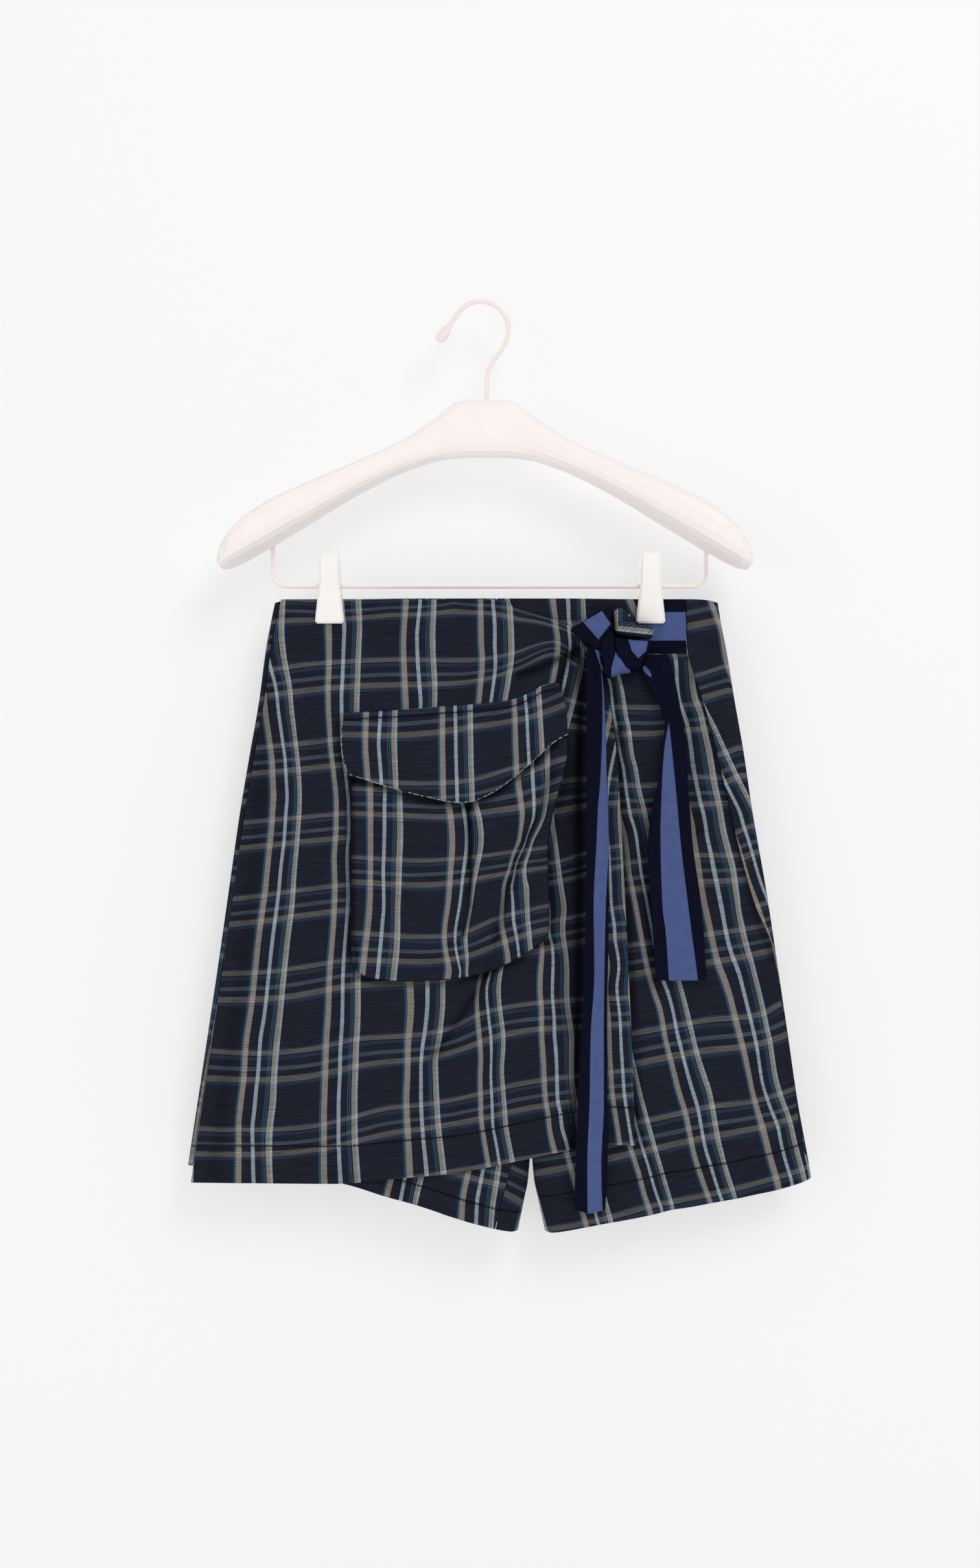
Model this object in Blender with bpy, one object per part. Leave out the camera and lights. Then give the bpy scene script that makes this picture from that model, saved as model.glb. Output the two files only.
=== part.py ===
"""Wrap-front skort hanging from the two clips of a shaped hanger.

Sizes are in millimetres and turned into metres where a mesh is made. The origin is the inner crown
of the hanger's hook. +Z is up and the front of the skort faces -Y. "drop" is the distance below the
waist's top edge. Left and right are as seen from the front.
"""

from collections import namedtuple
import math

import bmesh
import bpy
import numpy as np

MM = 0.001

# Cloth and seams
CLOTH = 1.2
GAP = 0.3
SEAM_CUT = 0.25
LAYER = CLOTH + GAP
WAIST_Z = -228.0
HEM_DROP = 465.0
CROTCH_DROP = 360.0
CROTCH_CURVE = 45.0
SIDE_SEAM_IN = 4.0
WAIST_CORNER = 3.0
EDGE_POWER = 0.4
INNER_ROUND = 0.13

# Where the front's layers were sized: a nearer layer is drawn in towards this point
SIGHT = 1350.0
SIGHT_X = 7.25
SIGHT_DROP = 142.5

# Wrap: how far it hangs off the shorts, and its gather at the knot
WRAP_SLACK = 2.0
GATHER = 3.5
KNOT_X = 78.0
KNOT_DROP = 38.0

# Knit ribbon
RIBBON = 1.6
TAIL_BACK = 5.5
TAIL_WAVE = 0.9

# Clips and bar
CLIP_X = (-116.0, 130.75)
PINCH = LAYER / 2
PINCH_FLAT = 12.0
PINCH_FADE = 66.0
BAR_RADIUS = 1.65
BAR_Z = -218.0
BAR_CORNER = 10.0

# Hook
WIRE_RADIUS = 2.0
HOOK_RADIUS = 21.5
STEM_X = 4.75
STEM_BOTTOM_Z = -90.0
HOOK_TIP = (-33.0, 0.0, -29.0)
HOOK_BULB = ((1.0, 1.2), (0.93, 1.9), (0.82, 2.3), (0.68, 2.35), (0.55, 2.1), (0.45, 1.5), (0.38, 1.1), (0.2, 1.0))
HOOK_LOWER = ((17.5, 0, -33.0), (10.5, 0, -43.0), (6.2, 0, -49.5), (STEM_X, 0, -60.0), (STEM_X, 0, STEM_BOTTOM_Z))

# Hanger body
BODY_X = 3.5
BODY_POWER = 2.8
BODY_SIDES = 18
BORE_CLEARANCE = 0.3

Outline = namedtuple("Outline", "drop left right")
OUTLINE = (
    Outline(drop=0.0, left=-158.0, right=182.5),
    Outline(drop=17.5, left=-161.7, right=185.2),
    Outline(drop=37.5, left=-165.6, right=189.2),
    Outline(drop=77.5, left=-170.7, right=195.8),
    Outline(drop=117.5, left=-177.7, right=202.8),
    Outline(drop=162.5, left=-185.3, right=209.5),
    Outline(drop=227.5, left=-194.6, right=220.8),
    Outline(drop=287.5, left=-203.2, right=229.8),
    Outline(drop=337.5, left=-210.7, right=237.2),
    Outline(drop=387.5, left=-218.2, right=244.5),
    Outline(drop=445.0, left=-226.7, right=254.7),
    Outline(drop=490.0, left=-232.0, right=260.0),
)

# Middle of the body, and half the space between the two legs' inner edges
Inner = namedtuple("Inner", "drop centre half_gap")
INNER = (
    Inner(drop=0.0, centre=12.2, half_gap=0.15),
    Inner(drop=250.0, centre=30.6, half_gap=0.15),
    Inner(drop=300.0, centre=34.3, half_gap=0.2),
    Inner(drop=325.0, centre=36.2, half_gap=0.85),
    Inner(drop=360.0, centre=38.7, half_gap=0.95),
    Inner(drop=417.0, centre=38.8, half_gap=0.95),
    Inner(drop=447.5, centre=38.9, half_gap=2.9),
    Inner(drop=462.5, centre=39.0, half_gap=6.0),
    Inner(drop=490.0, centre=39.2, half_gap=11.8),
)

Depth = namedtuple("Depth", "drop front back")
DEPTH = (
    Depth(drop=0.0, front=6.0, back=6.0),
    Depth(drop=20.0, front=6.4, back=6.6),
    Depth(drop=60.0, front=9.0, back=9.6),
    Depth(drop=110.0, front=11.6, back=12.6),
    Depth(drop=180.0, front=13.2, back=14.4),
    Depth(drop=300.0, front=14.0, back=14.8),
    Depth(drop=490.0, front=14.6, back=14.8),
)

# The right side seam swings forward at the waist and reaches the fold near the hip
Seam = namedtuple("Seam", "drop x")
RIGHT_SIDE_SEAM = (
    Seam(drop=0.0, x=158.3),
    Seam(drop=37.5, x=159.4),
    Seam(drop=60.0, x=164.5),
    Seam(drop=92.0, x=174.5),
    Seam(drop=140.0, x=186.2),
    Seam(drop=190.0, x=197.6),
    Seam(drop=240.0, x=211.0),
    Seam(drop=277.0, x=225.5),
    Seam(drop=330.0, x=234.5),
    Seam(drop=490.0, x=258.4),
)

# The left inseam lies a little way in from the fold, on the front
LEFT_INSEAM = (
    Seam(drop=0.0, x=0.0),
    Seam(drop=330.0, x=0.0),
    Seam(drop=362.0, x=3.0),
    Seam(drop=400.0, x=10.0),
    Seam(drop=440.0, x=17.0),
    Seam(drop=490.0, x=18.0),
)

Hem = namedtuple("Hem", "x drop")
LEFT_LEG_HEM = (
    Hem(x=-232.0, drop=436.0),
    Hem(x=-170.0, drop=439.0),
    Hem(x=-108.0, drop=448.0),
    Hem(x=-70.0, drop=459.0),
    Hem(x=-40.0, drop=467.0),
    Hem(x=-0.5, drop=479.0),
    Hem(x=28.0, drop=486.0),
)
RIGHT_LEG_HEM = (
    Hem(x=50.0, drop=486.5),
    Hem(x=79.0, drop=480.5),
    Hem(x=109.0, drop=475.5),
    Hem(x=149.0, drop=468.0),
    Hem(x=209.0, drop=457.0),
    Hem(x=248.0, drop=449.0),
    Hem(x=259.0, drop=445.0),
)

Point = namedtuple("Point", "x drop")
WRAP_TOP = (
    Point(x=-154.6, drop=0.0),
    Point(x=14.0, drop=0.0),
    Point(x=29.0, drop=7.5),
    Point(x=54.0, drop=15.0),
    Point(x=69.0, drop=21.0),
    Point(x=75.0, drop=26.0),
)
WRAP_RIGHT = (
    Point(x=75.0, drop=26.0),
    Point(x=83.0, drop=47.0),
    Point(x=94.3, drop=65.0),
    Point(x=103.2, drop=102.5),
    Point(x=107.8, drop=165.0),
    Point(x=111.8, drop=241.0),
    Point(x=116.2, drop=335.5),
    Point(x=119.2, drop=421.5),
)
WRAP_HEM = (
    Point(x=-222.0, drop=450.0),
    Point(x=-108.0, drop=451.0),
    Point(x=-70.0, drop=447.5),
    Point(x=-20.0, drop=443.0),
    Point(x=29.0, drop=433.5),
    Point(x=69.0, drop=425.0),
    Point(x=96.0, drop=420.5),
    Point(x=119.2, drop=421.5),
)

POCKET_TOP = (
    Point(x=-99.0, drop=107.0),
    Point(x=-20.0, drop=101.0),
    Point(x=20.0, drop=97.0),
    Point(x=61.5, drop=86.0),
)
POCKET_LEFT = (
    Point(x=-99.0, drop=107.0),
    Point(x=-98.5, drop=180.0),
    Point(x=-98.5, drop=268.0),
    Point(x=-97.5, drop=280.0),
    Point(x=-93.0, drop=286.5),
)
POCKET_BOTTOM = (
    Point(x=-93.0, drop=286.5),
    Point(x=-84.0, drop=290.8),
    Point(x=-58.0, drop=292.8),
    Point(x=-26.0, drop=291.5),
    Point(x=0.0, drop=287.5),
    Point(x=29.0, drop=275.0),
    Point(x=48.5, drop=262.0),
)
POCKET_RIGHT = (
    Point(x=61.5, drop=86.0),
    Point(x=66.0, drop=112.0),
    Point(x=65.5, drop=122.0),
    Point(x=61.5, drop=140.0),
    Point(x=54.0, drop=168.0),
    Point(x=50.5, drop=196.0),
    Point(x=51.8, drop=235.0),
    Point(x=51.6, drop=252.0),
    Point(x=48.5, drop=262.0),
)
POCKET_OUT = 4.4
GUSSET = ((LAYER + 3.0, 1.008), (LAYER + 0.5, 1.010))
FLAP_OUT = 0.6
FLAP_RISE = 0.2

FLAP_TOP = (
    Point(x=-106.2, drop=88.0),
    Point(x=-70.0, drop=86.0),
    Point(x=-31.0, drop=83.0),
    Point(x=20.0, drop=78.5),
    Point(x=40.0, drop=71.5),
    Point(x=50.0, drop=65.5),
    Point(x=60.5, drop=64.8),
)
FLAP_RIGHT = (
    Point(x=60.5, drop=64.8),
    Point(x=63.5, drop=75.0),
    Point(x=65.5, drop=84.0),
    Point(x=67.2, drop=104.5),
)
FLAP_LEFT = (
    Point(x=-106.2, drop=88.0),
    Point(x=-106.8, drop=113.5),
    Point(x=-102.2, drop=135.0),
)
FLAP_BOTTOM = (
    Point(x=-102.2, drop=135.0),
    Point(x=-65.0, drop=146.5),
    Point(x=-44.0, drop=152.0),
    Point(x=-16.0, drop=157.0),
    Point(x=-9.0, drop=156.5),
    Point(x=7.0, drop=150.5),
    Point(x=36.0, drop=129.0),
    Point(x=58.0, drop=109.5),
    Point(x=67.2, drop=104.5),
)

# Folds: a path of points, its height towards the viewer and its half width
Fold = namedtuple("Fold", "path height width")
WRAP_FOLDS = (
    Fold(path=((78, 24), (50, 28), (18, 36), (-20, 46)), height=4.0, width=10.0),
    Fold(path=((70, 57), (56, 66), (36, 76), (10, 88)), height=4.0, width=10.0),
    Fold(path=((72, 56), (75, 74), (74, 92), (72, 112)), height=3.0, width=10.0),
    Fold(path=((62, 130), (58, 160), (46, 184), (30, 204), (16, 240)), height=2.4, width=13.0),
    Fold(path=((72, 160), (64, 196), (46, 222), (34, 260)), height=-1.8, width=13.0),
    Fold(path=((12, 300), (0, 330), (-18, 356)), height=3.0, width=13.0),
    Fold(path=((80, 90), (77, 150), (77, 300), (74, 425)), height=-1.6, width=12.0),
    Fold(path=((98, 130), (101, 330), (104, 425)), height=1.4, width=13.0),
    Fold(path=((-145, 60), (-150, 150), (-152, 240), (-170, 340), (-180, 450)), height=2.6, width=16.0),
    Fold(path=((-118, 120), (-120, 230), (-128, 340), (-132, 450)), height=-1.8, width=15.0),
    Fold(path=((-60, 320), (-66, 380), (-60, 450)), height=2.0, width=18.0),
    Fold(path=((20, 350), (34, 390), (42, 432)), height=2.6, width=14.0),
)
RIGHT_FRONT_FOLDS = (
    Fold(path=((150, 50), (150, 120), (158, 200), (176, 300), (196, 450)), height=2.6, width=13.0),
    Fold(path=((128, 130), (128, 220), (136, 330), (146, 470)), height=-3.0, width=10.0),
    Fold(path=((170, 90), (184, 160), (200, 240), (216, 300)), height=-2.4, width=8.0),
    Fold(path=((206, 300), (214, 380), (222, 450)), height=2.2, width=14.0),
)
LEFT_FRONT_FOLDS = (
    Fold(path=((-60, 380), (-56, 470)), height=-2.0, width=16.0),
    Fold(path=((4, 400), (2, 485)), height=-1.6, width=10.0),
)
LEFT_BACK_FOLDS = (
    Fold(path=((-120, 60), (-124, 160), (-134, 300), (-146, 440)), height=2.8, width=16.0),
    Fold(path=((-72, 120), (-74, 240), (-80, 350), (-88, 460)), height=-2.4, width=14.0),
    Fold(path=((-24, 90), (-22, 220), (-16, 340), (-10, 470)), height=2.4, width=15.0),
)
RIGHT_BACK_FOLDS = (
    Fold(path=((142, 70), (150, 180), (164, 310), (178, 450)), height=2.6, width=15.0),
    Fold(path=((96, 110), (102, 240), (112, 350), (120, 470)), height=-2.6, width=13.0),
    Fold(path=((196, 150), (208, 280), (224, 440)), height=-2.0, width=12.0),
    Fold(path=((60, 120), (64, 260), (74, 380), (80, 470)), height=2.0, width=13.0),
)
POCKET_PLEAT = Fold(
    path=((-9.5, 150), (-8.5, 196), (-7.5, 213), (-9, 235), (-11.5, 249), (-13.5, 258)),
    height=-2.4,
    width=2.6,
)

# The long tail hangs folded lengthwise, the short one opens out flat
LongTail = namedtuple("LongTail", "drop front_x fold_x back_x front_y back_y")
LONG_TAIL = (
    LongTail(drop=36.3, front_x=82.6, fold_x=90.4, back_x=84.0, front_y=-22.6, back_y=-20.0),
    LongTail(drop=60.0, front_x=81.9, fold_x=93.2, back_x=84.0, front_y=-25.5, back_y=-20.6),
    LongTail(drop=90.0, front_x=81.8, fold_x=95.2, back_x=83.5, front_y=-26.5, back_y=-20.6),
    LongTail(drop=140.0, front_x=81.8, fold_x=97.2, back_x=83.5, front_y=-27.5, back_y=-20.5),
    LongTail(drop=200.0, front_x=81.6, fold_x=98.2, back_x=83.5, front_y=-28.5, back_y=-21.0),
    LongTail(drop=260.0, front_x=80.8, fold_x=97.8, back_x=83.0, front_y=-28.5, back_y=-21.5),
    LongTail(drop=320.0, front_x=78.5, fold_x=96.8, back_x=81.5, front_y=-28.5, back_y=-21.5),
    LongTail(drop=380.0, front_x=75.6, fold_x=96.8, back_x=79.5, front_y=-28.0, back_y=-21.5),
    LongTail(drop=430.0, front_x=73.4, fold_x=97.2, back_x=77.5, front_y=-27.5, back_y=-21.5),
    LongTail(drop=471.0, front_x=72.2, fold_x=95.4, back_x=76.5, front_y=-27.0, back_y=-21.5),
)
LONG_TAIL_TOP_SLANT = 3.4
LONG_TAIL_END_SLANT = 6.0
LONG_TAIL_ROWS = 19

ShortTail = namedtuple("ShortTail", "drop left right y open")
SHORT_TAIL = (
    ShortTail(drop=43.0, left=129.0, right=145.0, y=-11.4, open=0.0),
    ShortTail(drop=55.0, left=124.8, right=148.0, y=-13.6, open=0.0),
    ShortTail(drop=68.0, left=131.0, right=151.0, y=-17.0, open=0.0),
    ShortTail(drop=82.0, left=139.0, right=153.6, y=-20.5, open=0.0),
    ShortTail(drop=98.0, left=143.2, right=156.8, y=-23.0, open=0.0),
    ShortTail(drop=114.0, left=140.2, right=158.6, y=-23.5, open=0.15),
    ShortTail(drop=140.0, left=137.6, right=160.0, y=-23.5, open=0.35),
    ShortTail(drop=168.0, left=131.8, right=161.8, y=-23.0, open=0.75),
    ShortTail(drop=190.0, left=129.3, right=163.6, y=-22.5, open=0.95),
    ShortTail(drop=237.5, left=131.8, right=170.2, y=-21.5, open=1.0),
    ShortTail(drop=294.0, left=135.6, right=174.3, y=-21.0, open=1.0),
)

BAND_TOP = (
    Point(x=122.0, drop=14.0),
    Point(x=132.0, drop=1.5),
    Point(x=140.0, drop=0.2),
    Point(x=157.8, drop=0.2),
)
BAND_BOTTOM = (
    Point(x=122.0, drop=38.0),
    Point(x=132.0, drop=41.5),
    Point(x=158.8, drop=42.0),
)

# The knot of the ribbon, and the wrap's plaid corner drawn through it
KNOT_OUTLINE = (
    Point(x=70.5, drop=24.0),
    Point(x=79.0, drop=17.0),
    Point(x=88.0, drop=10.5),
    Point(x=97.0, drop=4.0),
    Point(x=100.5, drop=3.5),
    Point(x=101.8, drop=8.0),
    Point(x=101.4, drop=17.0),
    Point(x=102.6, drop=27.2),
    Point(x=112.0, drop=30.2),
    Point(x=123.0, drop=31.4),
    Point(x=130.4, drop=32.4),
    Point(x=130.6, drop=37.5),
    Point(x=127.6, drop=43.5),
    Point(x=122.5, drop=54.5),
    Point(x=108.0, drop=58.0),
    Point(x=96.5, drop=60.5),
    Point(x=94.0, drop=46.0),
    Point(x=91.5, drop=38.9),
    Point(x=84.0, drop=36.5),
)
KNOT_MIDDLE = Point(x=98.0, drop=36.0)
KNOT_TOP = 26.5
KNOT_FOLDS = (
    Fold(path=((74, 27), (98, 12)), height=-1.6, width=6.0),
    Fold(path=((90, 39), (101, 30), (102, 20)), height=-2.2, width=4.5),
    Fold(path=((102, 34), (121, 54)), height=-2.2, width=4.5),
    Fold(path=((100, 42), (106, 57)), height=1.4, width=6.0),
    Fold(path=((108, 36), (127, 40)), height=1.6, width=6.0),
)
CORNER_OUTLINE = (
    Point(x=102.8, drop=9.0),
    Point(x=108.5, drop=6.8),
    Point(x=114.5, drop=11.0),
    Point(x=117.8, drop=17.0),
    Point(x=122.0, drop=20.0),
    Point(x=130.0, drop=20.6),
    Point(x=133.4, drop=24.5),
    Point(x=131.0, drop=30.4),
    Point(x=123.0, drop=30.0),
    Point(x=112.6, drop=28.8),
    Point(x=104.0, drop=26.0),
    Point(x=102.6, drop=17.0),
)
CORNER_MIDDLE = Point(x=112.5, drop=20.5)
CORNER_TOP = 23.0
CORNER_FOLDS = (
    Fold(path=((105, 12), (116, 21), (132, 25)), height=1.2, width=4.0),
    Fold(path=((104, 24), (118, 26), (130, 28)), height=-1.0, width=4.0),
)
KNOT_CLEARANCE = 0.6
LUMP_EDGE = 2.4
LUMP_RINGS = (0.3, 0.55, 0.76, 0.9, 0.97, 1.0)
LUMP_BACK_RINGS = (0.96, 0.66, 0.33)
LUMP_SPOKES = 36

# Half of the hanger body, from its middle outwards
Arm = namedtuple("Arm", "reach top bottom depth forward")
HANGER_ARM = (
    Arm(reach=0.0, top=-74.0, bottom=-118.8, depth=22.0, forward=0.0),
    Arm(reach=17.0, top=-74.2, bottom=-119.0, depth=22.0, forward=0.0),
    Arm(reach=23.0, top=-76.2, bottom=-119.5, depth=22.0, forward=0.0),
    Arm(reach=30.0, top=-80.8, bottom=-120.3, depth=22.4, forward=0.0),
    Arm(reach=39.5, top=-89.0, bottom=-121.8, depth=23.0, forward=0.3),
    Arm(reach=61.0, top=-103.5, bottom=-129.2, depth=26.0, forward=1.0),
    Arm(reach=79.0, top=-112.5, bottom=-137.5, depth=29.5, forward=2.0),
    Arm(reach=97.8, top=-121.0, bottom=-147.5, depth=33.0, forward=3.2),
    Arm(reach=116.0, top=-129.0, bottom=-158.5, depth=36.5, forward=4.6),
    Arm(reach=134.0, top=-137.0, bottom=-170.0, depth=40.0, forward=6.2),
    Arm(reach=150.0, top=-144.3, bottom=-180.0, depth=42.5, forward=8.0),
    Arm(reach=166.0, top=-152.4, bottom=-190.0, depth=44.5, forward=9.8),
    Arm(reach=182.5, top=-164.0, bottom=-199.5, depth=45.0, forward=11.2),
    Arm(reach=194.0, top=-175.5, bottom=-205.0, depth=42.0, forward=12.0),
    Arm(reach=200.5, top=-185.5, bottom=-206.3, depth=34.0, forward=12.0),
    Arm(reach=203.6, top=-194.5, bottom=-203.5, depth=20.0, forward=12.0),
)

# Front jaw of a clip, from its finger end down to its lip
Jaw = namedtuple("Jaw", "z half_width inner outer")
JAW = (
    Jaw(z=-193.0, half_width=5.4, inner=7.6, outer=9.4),
    Jaw(z=-194.2, half_width=7.0, inner=7.0, outer=10.2),
    Jaw(z=-197.0, half_width=7.7, inner=6.4, outer=10.4),
    Jaw(z=-206.0, half_width=7.75, inner=4.2, outer=9.6),
    Jaw(z=-212.0, half_width=7.8, inner=2.4, outer=9.0),
    Jaw(z=-214.5, half_width=7.9, inner=0.4, outer=8.8),
    Jaw(z=-215.9, half_width=8.0, inner=0.4, outer=8.6),
    Jaw(z=-216.6, half_width=8.05, inner=1.6, outer=8.5),
    Jaw(z=-218.0, half_width=8.2, inner=2.1, outer=8.4),
    Jaw(z=-219.4, half_width=8.35, inner=1.6, outer=8.3),
    Jaw(z=-220.1, half_width=8.4, inner=0.4, outer=8.2),
    Jaw(z=-222.5, half_width=8.7, inner=0.4, outer=8.1),
    Jaw(z=-226.5, half_width=9.2, inner=3.15, outer=8.0),
    Jaw(z=-234.0, half_width=10.0, inner=3.15, outer=7.7),
    Jaw(z=-241.0, half_width=10.8, inner=3.15, outer=7.3),
    Jaw(z=-245.4, half_width=11.2, inner=3.15, outer=6.6),
    Jaw(z=-247.0, half_width=9.8, inner=3.15, outer=5.6),
)
BACK_JAW_SHIFT = LAYER
JAW_CORNER = 1.6

BarEnd = namedtuple("BarEnd", "side x top")
BAR_ENDS = (
    BarEnd(side="left", x=-160.2, top=-178.0),
    BarEnd(side="right", x=173.8, top=-182.0),
)

Look = namedtuple("Look", "color roughness metallic")
LOOKS = {
    "plaid_cloth": Look(color=(0.020, 0.024, 0.045, 1.0), roughness=0.85, metallic=0.0),
    "knit_ribbon": Look(color=(0.030, 0.045, 0.160, 1.0), roughness=0.9, metallic=0.0),
    "cream_paint": Look(color=(0.88, 0.84, 0.80, 1.0), roughness=0.45, metallic=0.0),
    "cream_wire": Look(color=(0.86, 0.83, 0.80, 1.0), roughness=0.35, metallic=0.2),
    "cream_plastic": Look(color=(0.90, 0.88, 0.85, 1.0), roughness=0.4, metallic=0.0),
}


def clear_scene():
    for old in list(bpy.data.objects):
        bpy.data.objects.remove(old, do_unlink=True)


def finish_of(name):
    """The material called name, made from the table of looks the first time it is asked for."""
    material = bpy.data.materials.get(name)
    if material is None:
        material = bpy.data.materials.new(name)
        material.use_nodes = True
        shader = material.node_tree.nodes["Principled BSDF"]
        shader.inputs["Base Color"].default_value = LOOKS[name].color
        shader.inputs["Roughness"].default_value = LOOKS[name].roughness
        shader.inputs["Metallic"].default_value = LOOKS[name].metallic
    return material


def smooth(rows, key, value, at):
    """A curve through two columns of a table that never swings past its rows, read at some places."""
    xs = np.array([getattr(row, key) for row in rows], float)
    ys = np.array([getattr(row, value) for row in rows], float)
    slope = np.diff(ys) / np.diff(xs)
    before, after = slope[:-1], slope[1:]
    same = before * after > 0
    tangent = np.zeros(len(xs))
    tangent[1:-1][same] = 2 * before[same] * after[same] / (before[same] + after[same])
    tangent[0] = slope[0]
    tangent[-1] = slope[-1]
    at = np.clip(np.asarray(at, float), xs[0], xs[-1])
    i = np.clip(np.searchsorted(xs, at, side="right") - 1, 0, len(xs) - 2)
    step = xs[i + 1] - xs[i]
    t = (at - xs[i]) / step
    rest = 1 - t
    ends = ys[i] * (1 + 2 * t) * rest**2 + ys[i + 1] * (3 - 2 * t) * t**2
    turns = tangent[i] * step * t * rest**2 - tangent[i + 1] * step * t**2 * rest
    return ends + turns


def ramp(at, full, none):
    """1 up to the first place, 0 past the second, with a soft step between them."""
    t = np.clip((none - np.asarray(at, float)) / (none - full), 0, 1)
    return t * t * (3 - 2 * t)


def mix(a, b, t):
    return a * (1 - t) + b * t


def fold_heights(folds, x, drop):
    """How far the folds raise the cloth at some places."""
    x = np.asarray(x, float)
    drop = np.asarray(drop, float)
    total = np.zeros(np.broadcast(x, drop).shape)
    for fold in folds:
        path = np.array(fold.path, float)
        nearest = np.full(total.shape, np.inf)
        for a, b in zip(path[:-1], path[1:]):
            run = b - a
            t = ((x - a[0]) * run[0] + (drop - a[1]) * run[1]) / (run @ run)
            t = np.clip(t, 0, 1)
            far = np.hypot(x - a[0] - t * run[0], drop - a[1] - t * run[1])
            nearest = np.minimum(nearest, far)
        total = total + fold.height * np.exp(-((nearest / fold.width) ** 2))
    return total


def pinch(x, drop):
    """How far the clips press the layers together: 1 in a clip, 0 well away from both."""
    held = np.zeros(np.broadcast(x, drop).shape)
    for clip_x in CLIP_X:
        held = np.maximum(held, ramp(np.abs(x - clip_x), PINCH_FLAT, PINCH_FADE))
    return held * ramp(drop, 21.0, 85.0)


def centre_x(drop):
    return smooth(INNER, "drop", "centre", drop)


def inner_x(side, drop):
    """The leg's inner edge: the centre seam, and below the crotch the inner fold."""
    half_gap = smooth(INNER, "drop", "half_gap", drop)
    return centre_x(drop) + (-half_gap if side == "left" else half_gap)


def outer_x(side, drop):
    """The side fold's middle surface."""
    return smooth(OUTLINE, "drop", side, drop) + (CLOTH / 2 if side == "left" else -CLOTH / 2)


def across(x, drop, side, start):
    """How far x lies from start, 0, to the side fold, 1."""
    return np.clip((x - start) / (outer_x(side, drop) - start), 0, 1)


def half_depth(face, drop):
    return smooth(DEPTH, "drop", face, drop)


def cover_depth(face, x, drop):
    """Depth from the middle plane to a smooth drape over both legs."""
    middle = centre_x(drop)
    left = across(x, drop, "left", middle)
    right = across(x, drop, "right", middle)
    s = np.where(x < middle, left, right)
    free = half_depth(face, drop) * (1 - s**2) ** EDGE_POWER
    return mix(free, PINCH, pinch(x, drop) * (s < 1))


def leg_depth(face, side, x, drop):
    """Depth to one leg's wall, which also turns in at the inner fold below the crotch."""
    inner = inner_x(side, drop)
    s = across(x, drop, side, inner)
    turn = 1 - ramp(drop, CROTCH_DROP - CROTCH_CURVE, CROTCH_DROP)
    near = np.clip(s / INNER_ROUND, 0, 1)
    rounded = np.sqrt(1 - (1 - near) ** 2)
    free = half_depth(face, drop) * (1 - s**2) ** EDGE_POWER * (1 - turn * (1 - rounded))
    return mix(free, PINCH, pinch(x, drop) * (s < 1))


def fold_quiet(depth, drop):
    """Folds fade out near the waist, the side folds and the inner folds."""
    return np.clip(depth / 8, 0, 1) ** 2 * (1 - ramp(drop, 20.0, 70.0))


def leg_point(side, face, x, drop, folds):
    """A point of a leg's middle surface on its front or back."""
    depth = leg_depth(face, side, x, drop)
    depth = depth + fold_heights(folds, x, drop) * fold_quiet(depth, drop)
    y = -depth if face == "front" else depth
    return np.stack([x, y, WAIST_Z - drop], axis=-1)


def ring_x(side, w, drop):
    """x of a place round the leg: w runs 0 to 1 on the front, from the inner edge to the side."""
    turn = 1 - ramp(drop, CROTCH_DROP - CROTCH_CURVE, CROTCH_DROP)
    s = mix(np.sin(math.pi / 2 * w), (1 - np.cos(math.pi * w)) / 2, turn)
    inner = inner_x(side, drop)
    return inner + s * (outer_x(side, drop) - inner)


def ring_place(side, x, drop):
    """The w at which the front of the ring passes x."""
    w = np.linspace(0, 1, 400)
    found = ring_x(side, w, np.full(400, float(drop)))
    if side == "left":
        return float(np.interp(-x, -found, w))
    return float(np.interp(x, found, w))


def seam_places(side, drop):
    """Where the inseam and the side seam lie round the ring."""
    inset = float(smooth(LEFT_INSEAM, "drop", "x", drop)) if side == "left" else 0.0
    inner = float(inner_x(side, drop))
    start = ring_place(side, inner - inset, drop)
    if side == "left":
        seam_x = float(smooth(OUTLINE, "drop", "left", drop)) + SIDE_SEAM_IN
    else:
        seam_x = float(smooth(RIGHT_SIDE_SEAM, "drop", "x", drop))
    return start, ring_place(side, seam_x, drop)


def front_place(w):
    """The place on the front that lies before or behind w."""
    return np.abs(np.where(w <= 1, w, 2 - w))


def ring_point(side, w, drop, folds):
    """The middle surface at w, which runs on past 1 round the back and past 2 to the front again."""
    x = ring_x(side, front_place(w), drop)
    ahead = leg_point(side, "front", x, drop, folds["front"])
    behind = leg_point(side, "back", x, drop, folds["back"])
    on_front = ((w >= 0) & (w <= 1)) | (w > 2)
    return np.where(on_front[..., None], ahead, behind)


def ring_normal(side, w, drop, folds):
    """The wall's direction at w, from its neighbours along the ring and down the leg."""
    step_w, step_drop = 0.004, 1.0
    before, after = w - step_w, w + step_w
    # Above the crotch the front and the back run on into the other leg's, not into each other
    open_leg = drop < CROTCH_DROP - CROTCH_CURVE / 2
    before = np.where(open_leg & (w < step_w), w, before)
    after = np.where(open_leg & (w > 2 - step_w), w, after)
    along = ring_point(side, after, drop, folds) - ring_point(side, before, drop, folds)
    down = ring_point(side, w, drop + step_drop, folds) - ring_point(side, w, drop - step_drop, folds)
    normal = np.cross(along, down)
    return normal / np.linalg.norm(normal, axis=1, keepdims=True)


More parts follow.
